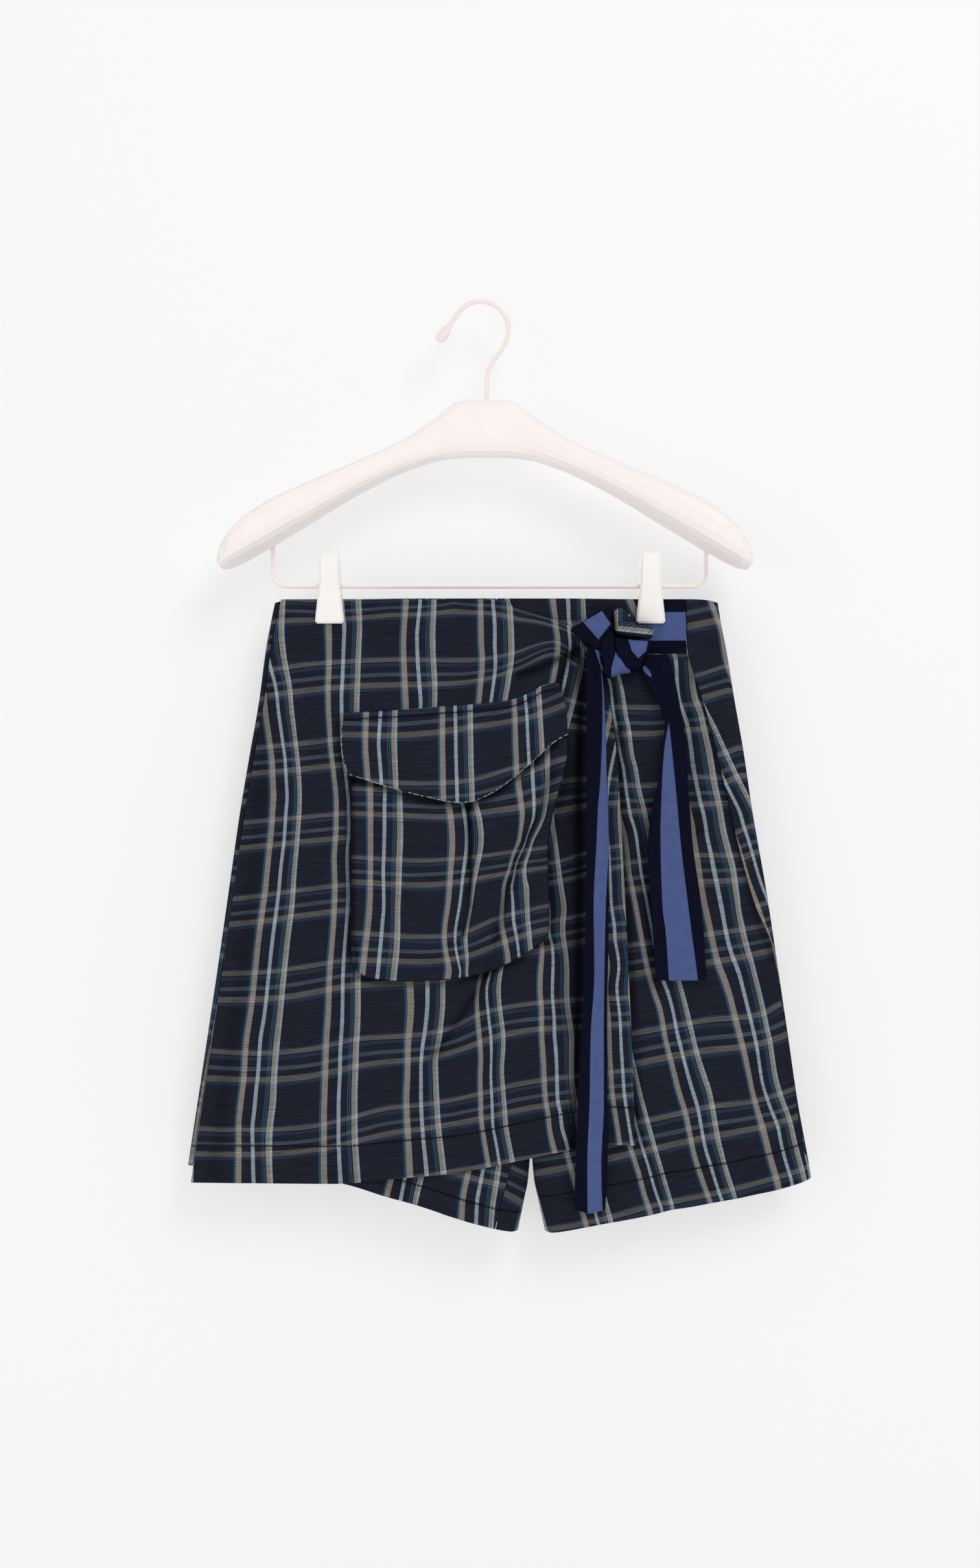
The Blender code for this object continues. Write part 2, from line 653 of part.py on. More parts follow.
def trimmed(points, extras, count, cut):
    """A row of points shortened by cut at both ends and spaced as it was, with what goes with them."""
    length = np.concatenate([[0], np.cumsum(np.linalg.norm(np.diff(points, axis=0), axis=1))])
    places = np.interp(np.linspace(0, 1, count), np.linspace(0, 1, len(points)), length)
    places = mix(cut, length[-1] - cut, places / length[-1])
    read = [np.stack([np.interp(places, length, of[:, i]) for i in range(3)], axis=1) for of in (points, extras)]
    return read[0], read[1] / np.linalg.norm(read[1], axis=1, keepdims=True)


def grid_faces(rows, columns):
    """The faces of a grid of points, counted row by row."""
    corners = [r * columns + c for r in range(rows - 1) for c in range(columns - 1)]
    return [(k, k + 1, k + columns + 1, k + columns) for k in corners]


def mesh_object(name, points, faces, look_name, sharp_angle=50.0):
    """A closed mesh from points in millimetres, with its faces turned outwards."""
    mesh = bpy.data.meshes.new(name)
    mesh.from_pydata([tuple(p) for p in np.asarray(points, float) * MM], [], faces)
    shape = bmesh.new()
    shape.from_mesh(mesh)
    bmesh.ops.recalc_face_normals(shape, faces=shape.faces)
    shape.to_mesh(mesh)
    shape.free()
    mesh.materials.append(finish_of(look_name))
    mesh.shade_smooth()
    mesh.set_sharp_from_angle(angle=math.radians(sharp_angle))
    obj = bpy.data.objects.new(name, mesh)
    bpy.context.collection.objects.link(obj)
    return obj


def point_normals(points, faces):
    """Each point's normal, averaged over its faces by their areas."""
    corners = points[np.array(faces)]
    crossed = np.cross(corners[:, 2] - corners[:, 0], corners[:, 3] - corners[:, 1])
    total = np.zeros_like(points)
    for k in range(4):
        np.add.at(total, np.array(faces)[:, k], crossed)
    return total / np.linalg.norm(total, axis=1, keepdims=True)


def wall_object(name, points, faces, look_name, thick=CLOTH, normals=None):
    """A wall of even thickness about these middle-surface points, closed round its border."""
    points = np.asarray(points, float)
    if normals is None:
        normals = point_normals(points, faces)
    count = len(points)
    both = np.concatenate([points + normals * thick / 2, points - normals * thick / 2])
    shell = [tuple(face) for face in faces]
    shell += [tuple(count + k for k in reversed(face)) for face in faces]
    edges = {}
    for face in faces:
        for a, b in zip(face, face[1:] + face[:1]):
            edges[(a, b)] = True
    for a, b in edges:
        if (b, a) not in edges:
            shell.append((b, a, count + a, count + b))
    return mesh_object(name, both, shell, look_name)


def grid_object(name, grid, look_name, thick=CLOTH, normals=None):
    grid = np.asarray(grid, float)
    rows, columns = grid.shape[:2]
    if normals is not None:
        normals = np.asarray(normals, float).reshape(-1, 3)
    return wall_object(name, grid.reshape(-1, 3), grid_faces(rows, columns), look_name, thick, normals)


def shorts_panel(name, side, face, rows, columns, folds):
    """A front or back panel of one leg, from waist to hem between its seams."""
    hem_rows = LEFT_LEG_HEM if side == "left" else RIGHT_LEG_HEM
    samples = 200
    grid = []
    normals = []
    for v in rows:
        start, seam = seam_places(side, v * HEM_DROP)
        if face == "front":
            w = np.linspace(start, seam, samples)
        else:
            w = np.linspace(seam, 2 + start, samples)
        hem_x = ring_x(side, front_place(w), np.full(samples, HEM_DROP))
        middle = centre_x(HEM_DROP)
        to_side = np.abs((hem_x - middle) / (outer_x(side, HEM_DROP) - middle))
        top = WAIST_CORNER * to_side**14
        drop = mix(top, smooth(hem_rows, "x", "drop", hem_x), v)
        points = ring_point(side, w, drop, folds)
        row, row_normals = trimmed(points, ring_normal(side, w, drop, folds), columns, SEAM_CUT)
        grid.append(row)
        normals.append(row_normals)
    return grid_object(name, grid, "plaid_cloth", normals=normals)


def edge(points, at, count_key):
    """Points along an edge, spaced evenly by one of its two coordinates."""
    low = getattr(points[0], count_key)
    high = getattr(points[-1], count_key)
    other = "drop" if count_key == "x" else "x"
    read = mix(low, high, at)
    found = smooth(points, count_key, other, read)
    pair = (read, found) if count_key == "x" else (found, read)
    return np.stack(pair, axis=-1)


def filled(top, bottom, left, right):
    """The (x, drop) grid between four edges."""
    v = np.linspace(0, 1, len(left))[:, None, None]
    u = np.linspace(0, 1, len(top))[None, :, None]
    rows = mix(top[None], bottom[None], v)
    columns = mix(left[:, None], right[:, None], u)
    corners = mix(mix(top[0], top[-1], u), mix(bottom[0], bottom[-1], u), v)
    return rows + columns - corners


def drawn_in(x, drop, y):
    """A place on a nearer layer, drawn in towards the point that the sizes were taken from."""
    near = 1 + y / SIGHT
    return SIGHT_X + (x - SIGHT_X) * near, SIGHT_DROP + (drop - SIGHT_DROP) * near


def wrap_depth(x, drop):
    """Depth of the drape that the wrap follows: held at its waist and side seam, free elsewhere."""
    from_side = x - smooth(OUTLINE, "drop", "left", drop)
    gathered = ramp(np.hypot(x - KNOT_X, (drop - KNOT_DROP) * 1.2), 10.0, 60.0)
    free = (1 - ramp(drop, 12.0, 50.0)) * (1 - ramp(from_side, 4.0, 40.0))
    free = np.maximum(free, gathered)
    lift = (fold_heights(WRAP_FOLDS, x, drop) + WRAP_SLACK + GATHER * gathered) * free
    lift = 0.5 * (lift + np.sqrt(lift**2 + 0.6))
    return cover_depth("front", x, drop) + lift * (1 - pinch(x, drop)) ** 0.5


def lifted(depth_of, x, drop, out):
    """Depth of a layer that lies out from a surface, measured square to it."""
    step = 0.5
    here = depth_of(x, drop)
    slope_x = (depth_of(x + step, drop) - depth_of(x - step, drop)) / (2 * step)
    slope_drop = (depth_of(x, drop + step) - depth_of(x, drop - step)) / (2 * step)
    return here + out * np.sqrt(1 + np.minimum(slope_x**2 + slope_drop**2, 1.0))


def laid_on(depth_of, places, out):
    """3-D points of a layer drawn at some places, on a surface and out from it."""
    x, drop = places[..., 0], places[..., 1]
    near_x, near_drop = drawn_in(x, drop, -depth_of(x, drop))
    depth = lifted(depth_of, near_x, near_drop, out)
    return np.stack([near_x, -depth, WAIST_Z - near_drop], axis=-1)


def build_shorts():
    rows = (0, 0.022, 0.045, 0.065, 0.09, 0.12, 0.155, 0.2, 0.26, 0.34, 0.42, 0.5, 0.58, 0.645, 0.69,
            0.725, 0.755, 0.785, 0.83, 0.89, 0.95, 1)
    left = {"front": LEFT_FRONT_FOLDS, "back": LEFT_BACK_FOLDS}
    right = {"front": RIGHT_FRONT_FOLDS, "back": RIGHT_BACK_FOLDS}
    shorts_panel("shorts_front_left", "left", "front", rows, 13, left)
    shorts_panel("shorts_front_right", "right", "front", rows, 17, right)
    shorts_panel("shorts_back_left", "left", "back", rows, 17, left)
    shorts_panel("shorts_back_right", "right", "back", rows, 17, right)


def over_shorts(x, drop):
    """Depth of the wrap's middle surface, one layer out from the drape that covers the shorts."""
    return lifted(wrap_depth, x, drop, LAYER)


def with_ends(points, first, last):
    """An edge moved a little so that it starts and ends at two given points."""
    t = np.linspace(0, 1, len(points))[:, None]
    return points + (first - points[0]) * (1 - t) + (last - points[-1]) * t


def build_wrap():
    across_steps = 1 - (1 - np.linspace(0, 1, 26)) ** 1.2
    down_steps = np.linspace(0, 1, 24) ** 1.35
    right = edge(WRAP_RIGHT, down_steps, "drop")
    left_drop = mix(WRAP_TOP[0].drop, WRAP_HEM[0].drop, down_steps)
    left_x = smooth(OUTLINE, "drop", "left", left_drop) + SIDE_SEAM_IN + GAP / 2
    left = np.stack([left_x, left_drop], axis=-1)
    top = with_ends(edge(WRAP_TOP, across_steps, "x"), left[0], right[0])
    hem = with_ends(edge(WRAP_HEM, across_steps, "x"), left[-1], right[-1])
    places = filled(top, hem, left, right)
    grid_object("wrap_panel", laid_on(over_shorts, places, 0.0), "plaid_cloth")


def build_pocket():
    """The patch with its gusset, which turns back to the wrap along both sides and the bottom."""
    rows, columns = 12, 17
    across_steps = np.linspace(0, 1, columns)
    down_steps = np.linspace(0, 1, rows)
    left = edge(POCKET_LEFT, down_steps, "drop")
    right = edge(POCKET_RIGHT, down_steps, "drop")
    top = edge(POCKET_TOP, across_steps, "x")
    bottom = edge(POCKET_BOTTOM, across_steps, "x")
    places = filled(top, bottom, left, right)
    patch = laid_on(over_shorts, places, LAYER + POCKET_OUT)
    patch[..., 1] -= fold_heights((POCKET_PLEAT,), places[..., 0], places[..., 1])
    border = [r * columns for r in range(rows)]
    border += [(rows - 1) * columns + c for c in range(1, columns)]
    border += [r * columns + columns - 1 for r in range(rows - 2, -1, -1)]
    points = [patch.reshape(-1, 3)]
    faces = grid_faces(rows, columns)
    middle = places.mean(axis=(0, 1))
    rim = places.reshape(-1, 2)[border]
    previous = border
    for out, spread in GUSSET:
        points.append(laid_on(over_shorts, middle + (rim - middle) * spread, out))
        start = sum(len(group) for group in points[:-1])
        current = list(range(start, start + len(border)))
        for i in range(len(border) - 1):
            faces.append((previous[i], previous[i + 1], current[i + 1], current[i]))
        previous = current
    wall_object("pocket_patch", np.concatenate(points), faces, "plaid_cloth")


def build_flap():
    across_steps = np.linspace(0, 1, 19)
    down_steps = (0.0, FLAP_RISE / 2, FLAP_RISE, 0.4, 0.6, 0.8, 1.0)
    down_steps = np.array(down_steps)
    left = edge(FLAP_LEFT, down_steps, "drop")
    right = edge(FLAP_RIGHT, down_steps, "drop")
    top = with_ends(edge(FLAP_TOP, across_steps, "x"), left[0], right[0])
    bottom = with_ends(edge(FLAP_BOTTOM, across_steps, "x"), left[-1], right[-1])
    places = filled(top, bottom, left, right)
    rise = 1 - ramp(down_steps, 0.0, FLAP_RISE)
    out = LAYER + (POCKET_OUT + LAYER + FLAP_OUT) * rise[:, None] * np.ones(len(across_steps))
    grid_object("pocket_flap", laid_on(over_shorts, places, out), "plaid_cloth")


def right_front_depth(x, drop):
    depth = leg_depth("front", "right", x, drop)
    return depth + fold_heights(RIGHT_FRONT_FOLDS, x, drop) * fold_quiet(depth, drop)


def build_band():
    across_steps = np.linspace(0, 1, 8)
    down_steps = np.linspace(0, 1, 7)
    top = edge(BAND_TOP, across_steps, "x")
    bottom = edge(BAND_BOTTOM, across_steps, "x")
    left = mix(top[0], bottom[0], down_steps[:, None])
    right = mix(top[-1], bottom[-1], down_steps[:, None])
    places = filled(top, bottom, left, right)
    grid_object("tie_band", laid_on(right_front_depth, places, LAYER), "knit_ribbon")


def placed(x, drop, depth):
    """A 3-D point drawn at x and drop, at a depth in front of the middle plane."""
    near_x, near_drop = drawn_in(x, drop, -depth)
    return np.stack(np.broadcast_arrays(near_x, -depth, WAIST_Z - near_drop), axis=-1)


def build_long_tail():
    """Folded lengthwise, so a section across it is a C that opens to the left."""
    t = np.linspace(0, 1, 9)
    grid = []
    first, last = LONG_TAIL[0].drop, LONG_TAIL[-1].drop
    step = (last - first) / (LONG_TAIL_ROWS - 1)
    for drop in np.linspace(first, last, LONG_TAIL_ROWS):
        row = {key: float(smooth(LONG_TAIL, "drop", key, drop)) for key in LongTail._fields[1:]}
        bulge = np.sin(math.pi * t) ** 0.75
        edges = mix(row["front_x"], row["back_x"], t)
        x = mix(edges, row["fold_x"], bulge)
        depth = -mix(row["front_y"], row["back_y"], t)
        slant = LONG_TAIL_END_SLANT * (drop - first) / (last - first) * (0.5 - np.abs(bulge - 0.5))
        slant = slant + LONG_TAIL_TOP_SLANT * bulge * max(0.0, 1 - (drop - first) / step)
        grid.append(placed(x, drop + slant, depth))
    grid_object("tie_tail_long", grid, "knit_ribbon", RIBBON)


def build_short_tail():
    """Folded behind itself near the knot, and flat at its cut end."""
    t = np.linspace(0, 1, 9)
    grid = []
    for drop in np.linspace(SHORT_TAIL[0].drop, SHORT_TAIL[-1].drop, 15):
        row = {key: float(smooth(SHORT_TAIL, "drop", key, drop)) for key in ShortTail._fields[1:]}
        folded = np.sin(math.pi * t) ** 0.8
        x = mix(row["right"], row["left"], mix(folded, t, row["open"]))
        behind = TAIL_BACK * t * (1 - row["open"])
        wave = TAIL_WAVE * np.sin(2.2 * math.pi * t) * row["open"]
        grid.append(placed(x, drop, -row["y"] - behind + wave))
    grid_object("tie_tail_short", grid, "knit_ribbon", RIBBON)


def closed_curve(points, count):
    """Evenly spread points on a smooth closed curve through an outline's points."""
    fine = []
    ring = [np.array(p, float) for p in points]
    size = len(ring)
    for i in range(size):
        a, b, c, d = (ring[(i + k) % size] for k in (-1, 0, 1, 2))
        for t in np.linspace(0, 1, 16, endpoint=False):
            fine.append(through(a, b, c, d, t))
    fine = np.array(fine + [fine[0]])
    length = np.concatenate([[0], np.cumsum(np.linalg.norm(np.diff(fine, axis=0), axis=1))])
    at = np.linspace(0, length[-1], count, endpoint=False)
    return np.stack([np.interp(at, length, fine[:, i]) for i in range(fine.shape[1])], axis=1)


def knot_seat(x, drop):
    """Depth that the knot's back rests at: on the wrap at its left, on the waist's band at its right."""
    on_wrap = over_shorts(x, drop) + KNOT_CLEARANCE
    on_band = right_front_depth(x, drop) + LAYER
    return mix(on_band, on_wrap, ramp(x, 94.0, 110.0)) + CLOTH / 2 + GAP


def lump_object(name, outline, middle, top, folds, look_name):
    """Bunched cloth: a crowned front inside an outline, and a back that follows what it rests on."""
    rim = closed_curve(outline, LUMP_SPOKES)
    middle = np.array(middle, float)
    points = [placed(*middle, top + float(fold_heights(folds, *middle)))]
    for rho in LUMP_RINGS:
        x, drop = (middle + (rim - middle) * rho).T
        fade = (1 - rho**4) ** 0.6
        raised = top + fold_heights(folds, x, drop)
        points.extend(placed(x, drop, mix(knot_seat(x, drop) + LUMP_EDGE, raised, fade)))
    for rho in LUMP_BACK_RINGS:
        x, drop = (middle + (rim - middle) * rho).T
        points.extend(placed(x, drop, knot_seat(x, drop)))
    points.append(placed(*middle, float(knot_seat(*middle))))
    rings = len(LUMP_RINGS) + len(LUMP_BACK_RINGS)
    faces = []
    for i in range(LUMP_SPOKES):
        j = (i + 1) % LUMP_SPOKES
        faces.append((0, 1 + i, 1 + j))
        for r in range(rings - 1):
            start = 1 + r * LUMP_SPOKES
            faces.append((start + i, start + LUMP_SPOKES + i, start + LUMP_SPOKES + j, start + j))
        last = 1 + (rings - 1) * LUMP_SPOKES
        faces.append((last + i, len(points) - 1, last + j))
    mesh_object(name, points, faces, look_name)


def build_knot():
    lump_object("tie_knot", KNOT_OUTLINE, KNOT_MIDDLE, KNOT_TOP, KNOT_FOLDS, "knit_ribbon")
    lump_object("wrap_corner", CORNER_OUTLINE, CORNER_MIDDLE, CORNER_TOP, CORNER_FOLDS, "plaid_cloth")


def lofted(name, sections, look_name):
    """A solid through a row of closed sections, with flat ends."""
    count = len(sections[0])
    points = np.concatenate([np.asarray(section, float) for section in sections])
    faces = [tuple(range(count)), tuple(range(len(points) - count, len(points)))]
    for s in range(len(sections) - 1):
        for i in range(count):
            j = (i + 1) % count
            a = s * count
            faces.append((a + i, a + j, a + count + j, a + count + i))
    return mesh_object(name, points, faces, look_name, sharp_angle=40.0)


def bore(target, name, x, bottom_z, top_z, radius):
    """Cuts an upright round hole for a wire."""
    bpy.ops.mesh.primitive_cylinder_add(
        vertices=16,
        radius=(radius + BORE_CLEARANCE) * MM,
        depth=(top_z - bottom_z) * MM,
        location=(x * MM, 0, (top_z + bottom_z) / 2 * MM),
    )
    cutter = bpy.context.object
    cutter.name = name
    cutter.hide_render = True
    cutter.display_type = "WIRE"
    cut = target.modifiers.new(name, "BOOLEAN")
    cut.operation = "DIFFERENCE"
    cut.object = cutter


def arm_section(row, x):
    """A rounded section of the hanger body, seen along X."""
    middle = (row.top + row.bottom) / 2
    section = []
    for k in range(BODY_SIDES):
        angle = 2 * math.pi * (k + 0.5) / BODY_SIDES
        c, s = math.cos(angle), math.sin(angle)
        y = math.copysign(abs(c) ** (2 / BODY_POWER), c) * row.depth / 2 - row.forward
        z = math.copysign(abs(s) ** (2 / BODY_POWER), s) * (row.top - row.bottom) / 2 + middle
        section.append((x, y, z))
    return section


def build_hanger_body():
    sections = [arm_section(row, BODY_X - row.reach) for row in reversed(HANGER_ARM)]
    sections += [arm_section(row, BODY_X + row.reach) for row in HANGER_ARM[1:]]
    body = lofted("hanger_body", sections, "cream_paint")
    bore(body, "stem_bore", STEM_X, STEM_BOTTOM_Z - 1.0, HANGER_ARM[0].top + 5, WIRE_RADIUS)
    for end in BAR_ENDS:
        bore(body, "bar_bore_" + end.side, end.x, end.top - 20, end.top + 1.0, BAR_RADIUS)


def wire(name, path, radius, look_name, swell=None):
    """A round wire along a path, with an own radius at each point where swell gives one."""
    data = bpy.data.curves.new(name, "CURVE")
    data.dimensions = "3D"
    data.bevel_depth = radius * MM
    data.bevel_resolution = 2
    data.use_fill_caps = True
    spline = data.splines.new("POLY")
    spline.points.add(len(path) - 1)
    for i, (point, place) in enumerate(zip(spline.points, path)):
        point.co = (*(c * MM for c in place), 1.0)
        point.radius = swell[i] if swell else 1.0
    data.materials.append(finish_of(look_name))
    obj = bpy.data.objects.new(name, data)
    bpy.context.collection.objects.link(obj)
    return obj


def through(a, b, c, d, t):
    """The point at t between b and c on a smooth curve through four points (Catmull-Rom)."""
    return 0.5 * (2 * b + (c - a) * t + (2 * a - 5 * b + 4 * c - d) * t**2 + (3 * b - a - 3 * c + d) * t**3)


def curve_through(points, count):
    """Evenly spaced points on a smooth open curve through a few."""
    points = np.array(points, float)
    padded = np.concatenate([[2 * points[0] - points[1]], points, [2 * points[-1] - points[-2]]])
    fine = []
    for a, b, c, d in zip(padded[:-3], padded[1:-2], padded[2:-1], padded[3:]):
        fine += [through(a, b, c, d, t) for t in np.linspace(0, 1, 24, endpoint=False)]
    fine = np.array(fine + [points[-1]])
    length = np.concatenate([[0], np.cumsum(np.linalg.norm(np.diff(fine, axis=0), axis=1))])
    at = np.linspace(0, length[-1], count)
    return np.stack([np.interp(at, length, fine[:, i]) for i in range(3)], axis=1)


def build_hook():
    centre_z = WIRE_RADIUS - HOOK_RADIUS
    arc = []
    for angle in np.linspace(math.radians(150.8), math.radians(-10.6), 22):
        arc.append((HOOK_RADIUS * math.cos(angle), 0, centre_z + HOOK_RADIUS * math.sin(angle)))
    lower = curve_through([arc[-1], *HOOK_LOWER], 12)[1:]
    bulb = []
    swell = []
    a, b = np.array(arc[0]), np.array(HOOK_TIP)
    for along, size in HOOK_BULB:
        bulb.append(tuple(mix(a, b, along)))
        swell.append(size)
    path = [*bulb, *arc[1:], *map(tuple, lower)]
    swell += [1.0] * (len(path) - len(swell))
    wire("hanger_hook", path, WIRE_RADIUS, "cream_wire", swell)


def build_bar():
    left, right = BAR_ENDS
    path = [(left.x, 0, left.top)]
    for angle in np.linspace(math.pi, 1.5 * math.pi, 7):
        path.append((left.x + BAR_CORNER * (1 + math.cos(angle)), 0, BAR_Z + BAR_CORNER * (1 + math.sin(angle))))
    for angle in np.linspace(1.5 * math.pi, 2 * math.pi, 7):
        path.append((right.x - BAR_CORNER * (1 - math.cos(angle)), 0, BAR_Z + BAR_CORNER * (1 + math.sin(angle))))
    path.append((right.x, 0, right.top))
    wire("hanger_bar", path, BAR_RADIUS, "cream_wire")


def jaw_section(x, row, towards, shift):
    """A jaw's section at one height, with its outer corners cut."""
    inner = towards * (row.inner - shift)
    outer = towards * (row.outer - shift)
    corner = min(JAW_CORNER, row.half_width / 3, (row.outer - row.inner) / 3)
    middle = outer - towards * corner
    w = row.half_width
    return [
        (x - w, inner, row.z),
        (x - w, middle, row.z),
        (x - w + corner, outer, row.z),
        (x + w - corner, outer, row.z),
        (x + w, middle, row.z),
        (x + w, inner, row.z),
    ]


def build_clips():
    for side, x in zip(("left", "right"), CLIP_X):
        front = [jaw_section(x, row, -1, 0.0) for row in JAW]
        lofted("clip_" + side + "_front", front, "cream_plastic")
        back = []
        for row in JAW:
            shift = BACK_JAW_SHIFT if row.inner > 3 and row.z < BAR_Z else 0.0
            back.append(jaw_section(x, row, 1, shift))
        lofted("clip_" + side + "_back", back, "cream_plastic")


def main():
    clear_scene()
    build_shorts()
    build_wrap()
    build_pocket()
    build_flap()
    build_band()
    build_long_tail()
    build_short_tail()
    build_knot()
    build_hanger_body()
    build_hook()
    build_bar()
    build_clips()


main()
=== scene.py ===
"""Looks of the wrap-front skort on its clip hanger: plaid shells, knit ribbon, paint and studio."""
from collections import namedtuple
import math

import bmesh
import bpy
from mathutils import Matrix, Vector
import numpy as np


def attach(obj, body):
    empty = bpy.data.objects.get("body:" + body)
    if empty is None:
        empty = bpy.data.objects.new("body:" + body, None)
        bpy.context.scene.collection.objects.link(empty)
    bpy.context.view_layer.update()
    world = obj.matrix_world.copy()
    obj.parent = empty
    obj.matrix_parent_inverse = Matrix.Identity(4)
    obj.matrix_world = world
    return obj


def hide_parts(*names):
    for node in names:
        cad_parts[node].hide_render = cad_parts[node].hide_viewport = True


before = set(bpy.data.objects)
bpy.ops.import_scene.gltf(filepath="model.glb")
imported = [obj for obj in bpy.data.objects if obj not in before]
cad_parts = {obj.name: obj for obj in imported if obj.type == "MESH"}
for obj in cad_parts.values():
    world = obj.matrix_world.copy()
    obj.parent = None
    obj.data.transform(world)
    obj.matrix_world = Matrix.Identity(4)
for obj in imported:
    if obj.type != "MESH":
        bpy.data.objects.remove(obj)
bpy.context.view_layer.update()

MM = 0.001

# ---- Sizes of the garment, in millimetres, the same as the CAD solids' ----
CLOTH = 1.2
SHELL = 1.0
GAP = 0.3
SEAM_CUT = 0.25
LAYER = CLOTH + GAP
WAIST_Z = -228.0
HEM_DROP = 465.0
CROTCH_DROP = 360.0
CROTCH_CURVE = 45.0
SIDE_SEAM_IN = 4.0
WAIST_CORNER = 3.0
EDGE_POWER = 0.4
INNER_ROUND = 0.13
SIGHT = 1350.0
SIGHT_X = 7.25
SIGHT_DROP = 142.5
WRAP_SLACK = 2.0
GATHER = 3.5
KNOT_X = 78.0
KNOT_DROP = 38.0
RIBBON = 1.6
TAIL_BACK = 5.5
TAIL_WAVE = 0.9
CLIP_X = (-116.0, 130.75)
PINCH = LAYER / 2
PINCH_FLAT = 12.0
PINCH_FADE = 66.0

Outline = namedtuple("Outline", "drop left right")
OUTLINE = (
    Outline(drop=0.0, left=-158.0, right=182.5),
    Outline(drop=17.5, left=-161.7, right=185.2),
    Outline(drop=37.5, left=-165.6, right=189.2),
    Outline(drop=77.5, left=-170.7, right=195.8),
    Outline(drop=117.5, left=-177.7, right=202.8),
    Outline(drop=162.5, left=-185.3, right=209.5),
    Outline(drop=227.5, left=-194.6, right=220.8),
    Outline(drop=287.5, left=-203.2, right=229.8),
    Outline(drop=337.5, left=-210.7, right=237.2),
    Outline(drop=387.5, left=-218.2, right=244.5),
    Outline(drop=445.0, left=-226.7, right=254.7),
    Outline(drop=490.0, left=-232.0, right=260.0),
)
Inner = namedtuple("Inner", "drop centre half_gap")
INNER = (
    Inner(drop=0.0, centre=12.2, half_gap=0.15),
    Inner(drop=250.0, centre=30.6, half_gap=0.15),
    Inner(drop=300.0, centre=34.3, half_gap=0.2),
    Inner(drop=325.0, centre=36.2, half_gap=0.85),
    Inner(drop=360.0, centre=38.7, half_gap=0.95),
    Inner(drop=417.0, centre=38.8, half_gap=0.95),
    Inner(drop=447.5, centre=38.9, half_gap=2.9),
    Inner(drop=462.5, centre=39.0, half_gap=6.0),
    Inner(drop=490.0, centre=39.2, half_gap=11.8),
)
Depth = namedtuple("Depth", "drop front back")
DEPTH = (
    Depth(drop=0.0, front=6.0, back=6.0),
    Depth(drop=20.0, front=6.4, back=6.6),
    Depth(drop=60.0, front=9.0, back=9.6),
    Depth(drop=110.0, front=11.6, back=12.6),
    Depth(drop=180.0, front=13.2, back=14.4),
    Depth(drop=300.0, front=14.0, back=14.8),
    Depth(drop=490.0, front=14.6, back=14.8),
)
Seam = namedtuple("Seam", "drop x")
RIGHT_SIDE_SEAM = (
    Seam(drop=0.0, x=158.3),
    Seam(drop=37.5, x=159.4),
    Seam(drop=60.0, x=164.5),
    Seam(drop=92.0, x=174.5),
    Seam(drop=140.0, x=186.2),
    Seam(drop=190.0, x=197.6),
    Seam(drop=240.0, x=211.0),
    Seam(drop=277.0, x=225.5),
    Seam(drop=330.0, x=234.5),
    Seam(drop=490.0, x=258.4),
)
LEFT_INSEAM = (
    Seam(drop=0.0, x=0.0),
    Seam(drop=330.0, x=0.0),
    Seam(drop=362.0, x=3.0),
    Seam(drop=400.0, x=10.0),
    Seam(drop=440.0, x=17.0),
    Seam(drop=490.0, x=18.0),
)
Hem = namedtuple("Hem", "x drop")
LEFT_LEG_HEM = (
    Hem(x=-232.0, drop=436.0),
    Hem(x=-170.0, drop=439.0),
    Hem(x=-108.0, drop=448.0),
    Hem(x=-70.0, drop=459.0),
    Hem(x=-40.0, drop=467.0),
    Hem(x=-0.5, drop=479.0),
    Hem(x=28.0, drop=486.0),
)
RIGHT_LEG_HEM = (
    Hem(x=50.0, drop=486.5),
    Hem(x=79.0, drop=480.5),
    Hem(x=109.0, drop=475.5),
    Hem(x=149.0, drop=468.0),
    Hem(x=209.0, drop=457.0),
    Hem(x=248.0, drop=449.0),
    Hem(x=259.0, drop=445.0),
)
Point = namedtuple("Point", "x drop")
WRAP_TOP = (
    Point(x=-154.6, drop=0.0),
    Point(x=14.0, drop=0.0),
    Point(x=29.0, drop=7.5),
    Point(x=54.0, drop=15.0),
    Point(x=69.0, drop=21.0),
    Point(x=75.0, drop=26.0),
)
WRAP_RIGHT = (
    Point(x=75.0, drop=26.0),
    Point(x=83.0, drop=47.0),
    Point(x=94.3, drop=65.0),
    Point(x=103.2, drop=102.5),
    Point(x=107.8, drop=165.0),
    Point(x=111.8, drop=241.0),
    Point(x=116.2, drop=335.5),
    Point(x=119.2, drop=421.5),
)
WRAP_HEM = (
    Point(x=-222.0, drop=450.0),
    Point(x=-108.0, drop=451.0),
    Point(x=-70.0, drop=447.5),
    Point(x=-20.0, drop=443.0),
    Point(x=29.0, drop=433.5),
    Point(x=69.0, drop=425.0),
    Point(x=96.0, drop=420.5),
    Point(x=119.2, drop=421.5),
)
POCKET_TOP = (
    Point(x=-99.0, drop=107.0),
    Point(x=-20.0, drop=101.0),
    Point(x=20.0, drop=97.0),
    Point(x=61.5, drop=86.0),
)
POCKET_LEFT = (
    Point(x=-99.0, drop=107.0),
    Point(x=-98.5, drop=180.0),
    Point(x=-98.5, drop=268.0),
    Point(x=-97.5, drop=280.0),
    Point(x=-93.0, drop=286.5),
)
POCKET_BOTTOM = (
    Point(x=-93.0, drop=286.5),
    Point(x=-84.0, drop=290.8),
    Point(x=-58.0, drop=292.8),
    Point(x=-26.0, drop=291.5),
    Point(x=0.0, drop=287.5),
    Point(x=29.0, drop=275.0),
    Point(x=48.5, drop=262.0),
)
